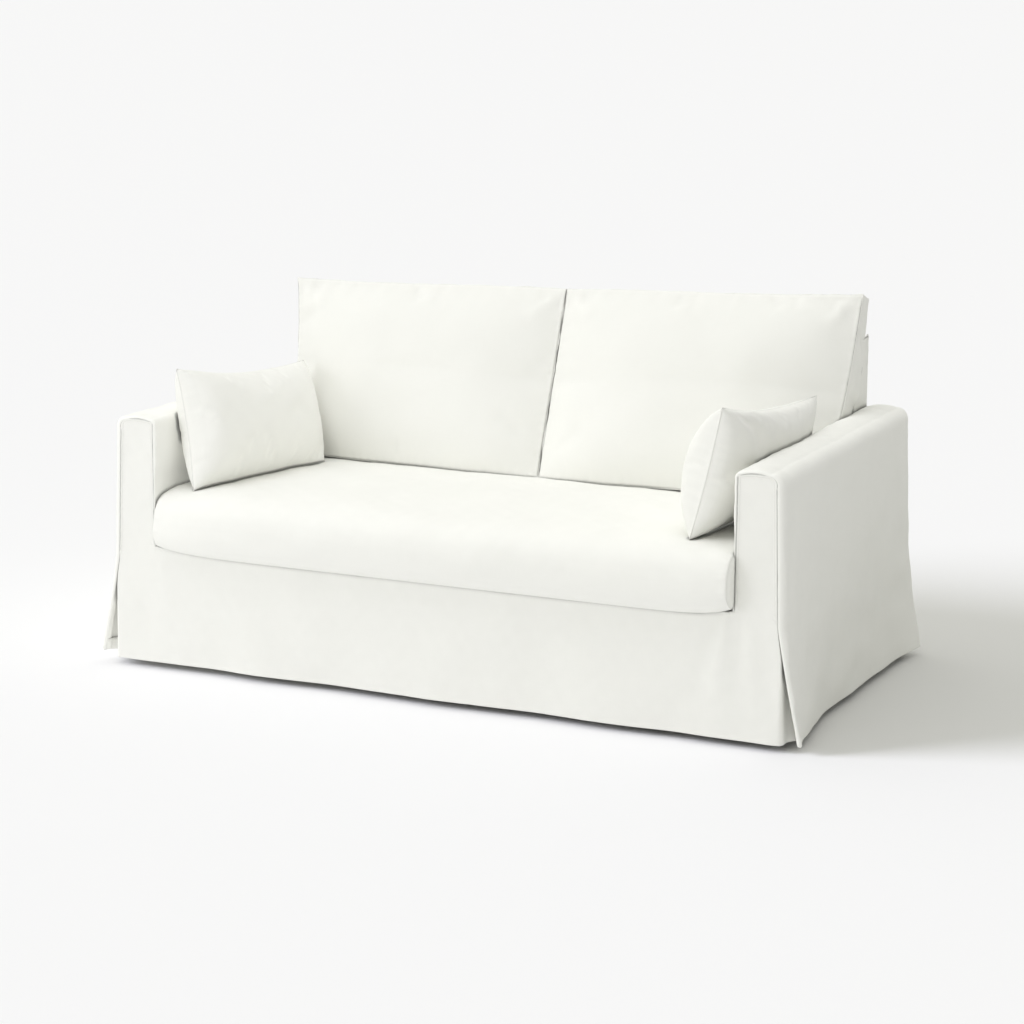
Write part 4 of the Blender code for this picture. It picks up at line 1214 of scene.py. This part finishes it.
def stitches(name, runs, material):
    """Lockstitches along lines on a panel, joined into one object."""
    body, body_faces = stitch_shape()
    points, faces = [], []
    draw = np.random.RandomState(601)
    for line, normal in runs:
        length = along_path(line)

        def read(place, values):
            return np.array([np.interp(place, length, values[:, k]) for k in range(3)])

        for place in np.arange(STITCH_PITCH, length[-1] - STITCH_PITCH, STITCH_PITCH):
            tangent = unit(read(place + 0.001, line) - read(place - 0.001, line))
            up = read(place, normal)
            up = unit(up - tangent * (up @ tangent))
            side = np.cross(tangent, up)
            slant = STITCH_SLANT + draw.uniform(-0.04, 0.04)
            tangent, side = tangent + side * slant, side - tangent * slant
            size = (STITCH_WIDTH / 2, STITCH_HEIGHT, STITCH_LENGTH * draw.uniform(0.94, 1.04))
            shape = (body * size) @ np.array((side, up, tangent))
            faces += [tuple(len(points) * len(body) + v for v in face) for face in body_faces]
            points.append(read(place, line) + up * STITCH_PROUD + shape)
    piece = add_object(name, (np.concatenate(points) + SOFA_TO_PART).tolist(), faces)
    piece.data.shade_smooth()
    piece.data.materials.append(material)
    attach(piece, BODY)


# ---------------------------------------------------------------- materials

WEAVE_PITCH = 0.00095
WEAVE_DEPTH = 0.00012
COTTON = (0.905, 0.905, 0.862)
THREAD_TONE = (0.80, 0.80, 0.735)
UNEVEN = 0.030           # how far the threads, the slubs and the patches each change the brightness
PAINTED_SHADE_REACH = 0.011       # of the painted shade in seams and where two pieces touch
PAINTED_SHADE_GAIN = 2.0
PAINTED_SHADE_DARKEST = 0.45


def new_material(name, tone, settings):
    """A material with its shader's inputs set. Returns it with its node tree."""
    material = bpy.data.materials.new(name)
    material.use_nodes = True
    material.diffuse_color = (*tone, 1.0)
    shader = material.node_tree.nodes["Principled BSDF"]
    shader.inputs["Base Color"].default_value = (*tone, 1.0)
    for key, value in settings.items():
        shader.inputs[key].default_value = value
    return material, material.node_tree


def add_node(tree, kind, inputs):
    """A node whose inputs, by name or number, are joined to a socket or set to a value."""
    node = tree.nodes.new("ShaderNode" + kind)
    for key, value in inputs.items():
        if hasattr(value, "links"):
            tree.links.new(value, node.inputs[key])
        else:
            node.inputs[key].default_value = value
    return node


def calculate(tree, operation, *values):
    node = add_node(tree, "Math", dict(enumerate(values)))
    node.operation = operation
    return node.outputs[0]


def noise(tree, source, seed, scale, detail, stretch=(1.0, 1.0, 1.0)):
    place = (seed, seed * 0.7, 0.0)
    mapping = add_node(tree, "Mapping", {"Vector": source, "Scale": stretch, "Location": place})
    node = add_node(tree, "TexNoise", {"Vector": mapping.outputs[0], "Scale": scale, "Detail": detail})
    return node.outputs["Fac"]


def painted_seam_shade(tree):
    """Painted shade: the colour is darkened in the seams and where two pieces touch, by how closely they are
    hemmed in.
    """
    # ambient occlusion turned into darker colour: painted shade, not dust
    crevice = add_node(tree, "AmbientOcclusion", {"Distance": PAINTED_SHADE_REACH})
    crevice.samples = 4
    hidden = calculate(tree, "SUBTRACT", 1.0, crevice.outputs["AO"])
    shade = calculate(tree, "MULTIPLY_ADD", calculate(tree, "MULTIPLY", hidden, hidden), -PAINTED_SHADE_GAIN, 1.0)
    return calculate(tree, "MAXIMUM", shade, PAINTED_SHADE_DARKEST)


def edge_wear_and_hollow_shade(tree):
    """Edges are a little lighter, as worn; hollows such as seam grooves are darker, which is painted shade.
    """
    edges = add_node(tree, "NewGeometry", {}).outputs["Pointiness"]
    wear_and_hollow_shade = calculate(tree, "MULTIPLY", calculate(tree, "SUBTRACT", edges, 0.5), 1.6)
    return calculate(tree, "MAXIMUM", calculate(tree, "MINIMUM", wear_and_hollow_shade, 0.03), -0.22)


def cotton(name, seed):
    """Heavy plain-woven cotton: threads along the cloth's coordinates, slubs, faint patches, slightly lighter
    worn edges, and painted shade in its hollows, seams and where pieces touch.
    """
    material, tree = new_material(name, COTTON, {"Specular IOR Level": 0.20, "Sheen Weight": 0.10,
                                                 "Sheen Roughness": 0.55})
    cloth = add_node(tree, "UVMap", {})
    cloth.uv_map = "cloth"
    cloth = cloth.outputs[0]
    apart = add_node(tree, "SeparateXYZ", {0: cloth})
    turn = math.pi / WEAVE_PITCH
    turned = [calculate(tree, "MULTIPLY", apart.outputs[k], turn) for k in (0, 1)]
    warp, weft = (calculate(tree, "SINE", angle) for angle in turned)
    weave = calculate(tree, "MULTIPLY_ADD", calculate(tree, "MULTIPLY", warp, weft), 0.5, 0.5)
    slubs = calculate(tree, "ADD", noise(tree, cloth, seed, 1.0, 2.0, (900.0, 28.0, 1.0)),
                      noise(tree, cloth, seed, 1.0, 2.0, (28.0, 900.0, 1.0)))
    light = 1.0
    for part, centre in ((weave, 0.5), (slubs, 1.0), (noise(tree, cloth, seed, 7.0, 3.0), 0.5)):
        light = calculate(tree, "MULTIPLY_ADD", calculate(tree, "SUBTRACT", part, centre), UNEVEN, light)
    # the tone gets painted shade in hollows, seams and contacts, and is a little lighter at worn edges
    light = calculate(tree, "MULTIPLY", calculate(tree, "ADD", light, edge_wear_and_hollow_shade(tree)), painted_seam_shade(tree))
    tone = add_node(tree, "VectorMath", {0: COTTON})
    tone.operation = "SCALE"
    tree.links.new(light, tone.inputs["Scale"])
    threads = calculate(tree, "ADD", weave, calculate(tree, "MULTIPLY", slubs, 0.8))
    bump = add_node(tree, "Bump", {"Distance": WEAVE_DEPTH, "Strength": 0.6, "Height": threads})
    shader = tree.nodes["Principled BSDF"]
    tree.links.new(tone.outputs[0], shader.inputs["Base Color"])
    tree.links.new(calculate(tree, "MULTIPLY_ADD", slubs, 0.05, 0.85), shader.inputs["Roughness"])
    tree.links.new(bump.outputs[0], shader.inputs["Normal"])
    return material


def plain(name, tone, roughness):
    return new_material(name, tone, {"Roughness": roughness, "Specular IOR Level": 0.15})[0]


# ---------------------------------------------------------------- studio

FLOOR_HALF = 400.0
FLOOR_TONE = (0.900, 0.900, 0.900)
SKY_TONE = (1.0, 1.0, 0.935, 1.0)
SKY_LEVEL = 0.64                       # the sky's light at the horizon
SKY_SLOPE = (-0.33, 0.0, 0.08)         # and how it grows towards the right, the back and the top
# Each sun as its parts falling on faces turned left, front and up, its width in degrees and its blue.
FLOOR_KEY = ((-0.70, -0.38, 0.345), 26.0, 1.12)     # low from the left: the long shadow on the floor
COVER_KEY = ((-0.02, -0.03, 0.32), 60.0, 1.07)      # from above and in front: the light on the cloth
FILL = ((0.145, -0.02, 0.02), 50.0, 1.0)            # light thrown back on what faces the seat from the left
FILL_PIECES = ("side_panel_cloth_left", "arm_cushion_filled_left")
SOFTBOX_PLACE, SOFTBOX_AIM = (-2.3, -2.9, 1.5), (-0.5, 0.2, 0.45)
SOFTBOX_SIZE, SOFTBOX_POWER, SOFTBOX_BLUE = 1.6, 22.0, 1.10

CAMERA_PLACE = (2.8112, -6.4207, 0.9829)
CAMERA_TURN = 25.29                   # degrees round from straight ahead
CAMERA_PITCH = 12.24                  # degrees downwards
CAMERA_LENS = 90.5


def floor():
    corners = ((-1, -1), (1, -1), (1, 1), (-1, 1))
    points = [(x * FLOOR_HALF, y * FLOOR_HALF, SOFA_TO_PART[2]) for x, y in corners]
    sheet = add_object("studio_floor", points, [(0, 1, 2, 3)])
    sheet.data.materials.append(plain("studio_floor", FLOOR_TONE, 1.0))
    return sheet


def add_lamp(name, kind, way, blue, pieces):
    """A lamp shining against way, that lights only these pieces, as a flag beside it would do in a studio."""
    data = bpy.data.lights.new(name, kind)
    data.color = (1.0, 1.0, blue)
    lamp = bpy.data.objects.new(name, data)
    lamp.rotation_euler = way.to_track_quat("Z", "Y").to_euler()
    bpy.context.scene.collection.objects.link(lamp)
    group = bpy.data.collections.new("lit_by_" + name)
    for piece in pieces:
        group.objects.link(piece)
    lamp.light_linking.receiver_collection = group
    return lamp


def sun(name, size, pieces, soft=False):
    parts, angle, blue = size
    lamp = add_lamp(name, "SUN", Vector(parts), blue, pieces)
    lamp.data.energy = math.pi * Vector(parts).length
    lamp.data.angle = math.radians(angle)
    lamp.data.use_shadow = not soft


def softbox(pieces):
    place, aim = (Vector(point) + Vector(SOFA_TO_PART) for point in (SOFTBOX_PLACE, SOFTBOX_AIM))
    lamp = add_lamp("softbox", "AREA", place - aim, SOFTBOX_BLUE, pieces)
    lamp.location = place
    lamp.data.shape = "SQUARE"
    lamp.data.size = SOFTBOX_SIZE
    lamp.data.energy = SOFTBOX_POWER


def sky():
    world = bpy.data.worlds.new("studio")
    world.use_nodes = True
    tree = world.node_tree
    place = add_node(tree, "TexCoord", {}).outputs["Generated"]
    slope = add_node(tree, "VectorMath", {0: place, 1: SKY_SLOPE})
    slope.operation = "DOT_PRODUCT"
    background = tree.nodes["Background"]
    background.inputs["Color"].default_value = SKY_TONE
    tree.links.new(calculate(tree, "ADD", slope.outputs["Value"], SKY_LEVEL), background.inputs["Strength"])
    bpy.context.scene.world = world


def light(ground):
    """The sky, a sun for the floor alone, a sun and a softbox for the cover, a fill inside its left arm."""
    sky()
    cover = [piece for piece in bpy.context.scene.objects if piece.type == "MESH" and piece != ground]
    sun("floor_key", FLOOR_KEY, [ground])
    sun("cover_key", COVER_KEY, cover)
    softbox(cover)
    sun("fill", FILL, [piece for piece in cover if piece.name in FILL_PIECES], soft=True)
    view = bpy.context.scene.view_settings
    view.view_transform = "Standard"
    view.look = "None"
    view.exposure = 0.0
    view.gamma = 1.0


def camera():
    turn, pitch = math.radians(CAMERA_TURN), math.radians(CAMERA_PITCH)
    ahead = Vector((-math.sin(turn) * math.cos(pitch), math.cos(turn) * math.cos(pitch), -math.sin(pitch)))
    right = Vector((math.cos(turn), math.sin(turn), 0.0))
    data = bpy.data.cameras.new("camera")
    data.lens = CAMERA_LENS
    data.sensor_width = 36.0
    data.clip_end = 1500.0
    eye = bpy.data.objects.new("camera", data)
    axes = Matrix((right, right.cross(ahead), -ahead)).transposed()
    eye.matrix_world = Matrix.Translation(CAMERA_PLACE) @ axes.to_4x4()
    bpy.context.scene.collection.objects.link(eye)
    bpy.context.scene.camera = eye


# ---------------------------------------------------------------- the slipcover


def build():
    cover = cotton("cover_cloth", 3.1)
    stuffed = cotton("cushion_cloth", 8.7)
    thread = plain("thread", THREAD_TONE, 0.75)
    for side in ("left", "right"):
        side_panel(side, cover)
        gusset(side, cover)
    front_lines = upright_panel(True, cover)
    back_lines = upright_panel(False, cover)
    inside_lines = inside_back(cover)
    seat_deck(cover)
    stitches("front_stitching", front_lines, thread)
    stitches("back_stitching", back_lines, thread)
    stitches("inside_back_stitching", inside_lines, thread)
    seat_cushion(stuffed)
    for side in ("left", "right"):
        back_cushion(side, stuffed)
        arm_cushion(side, stuffed)


build()
light(floor())
camera()
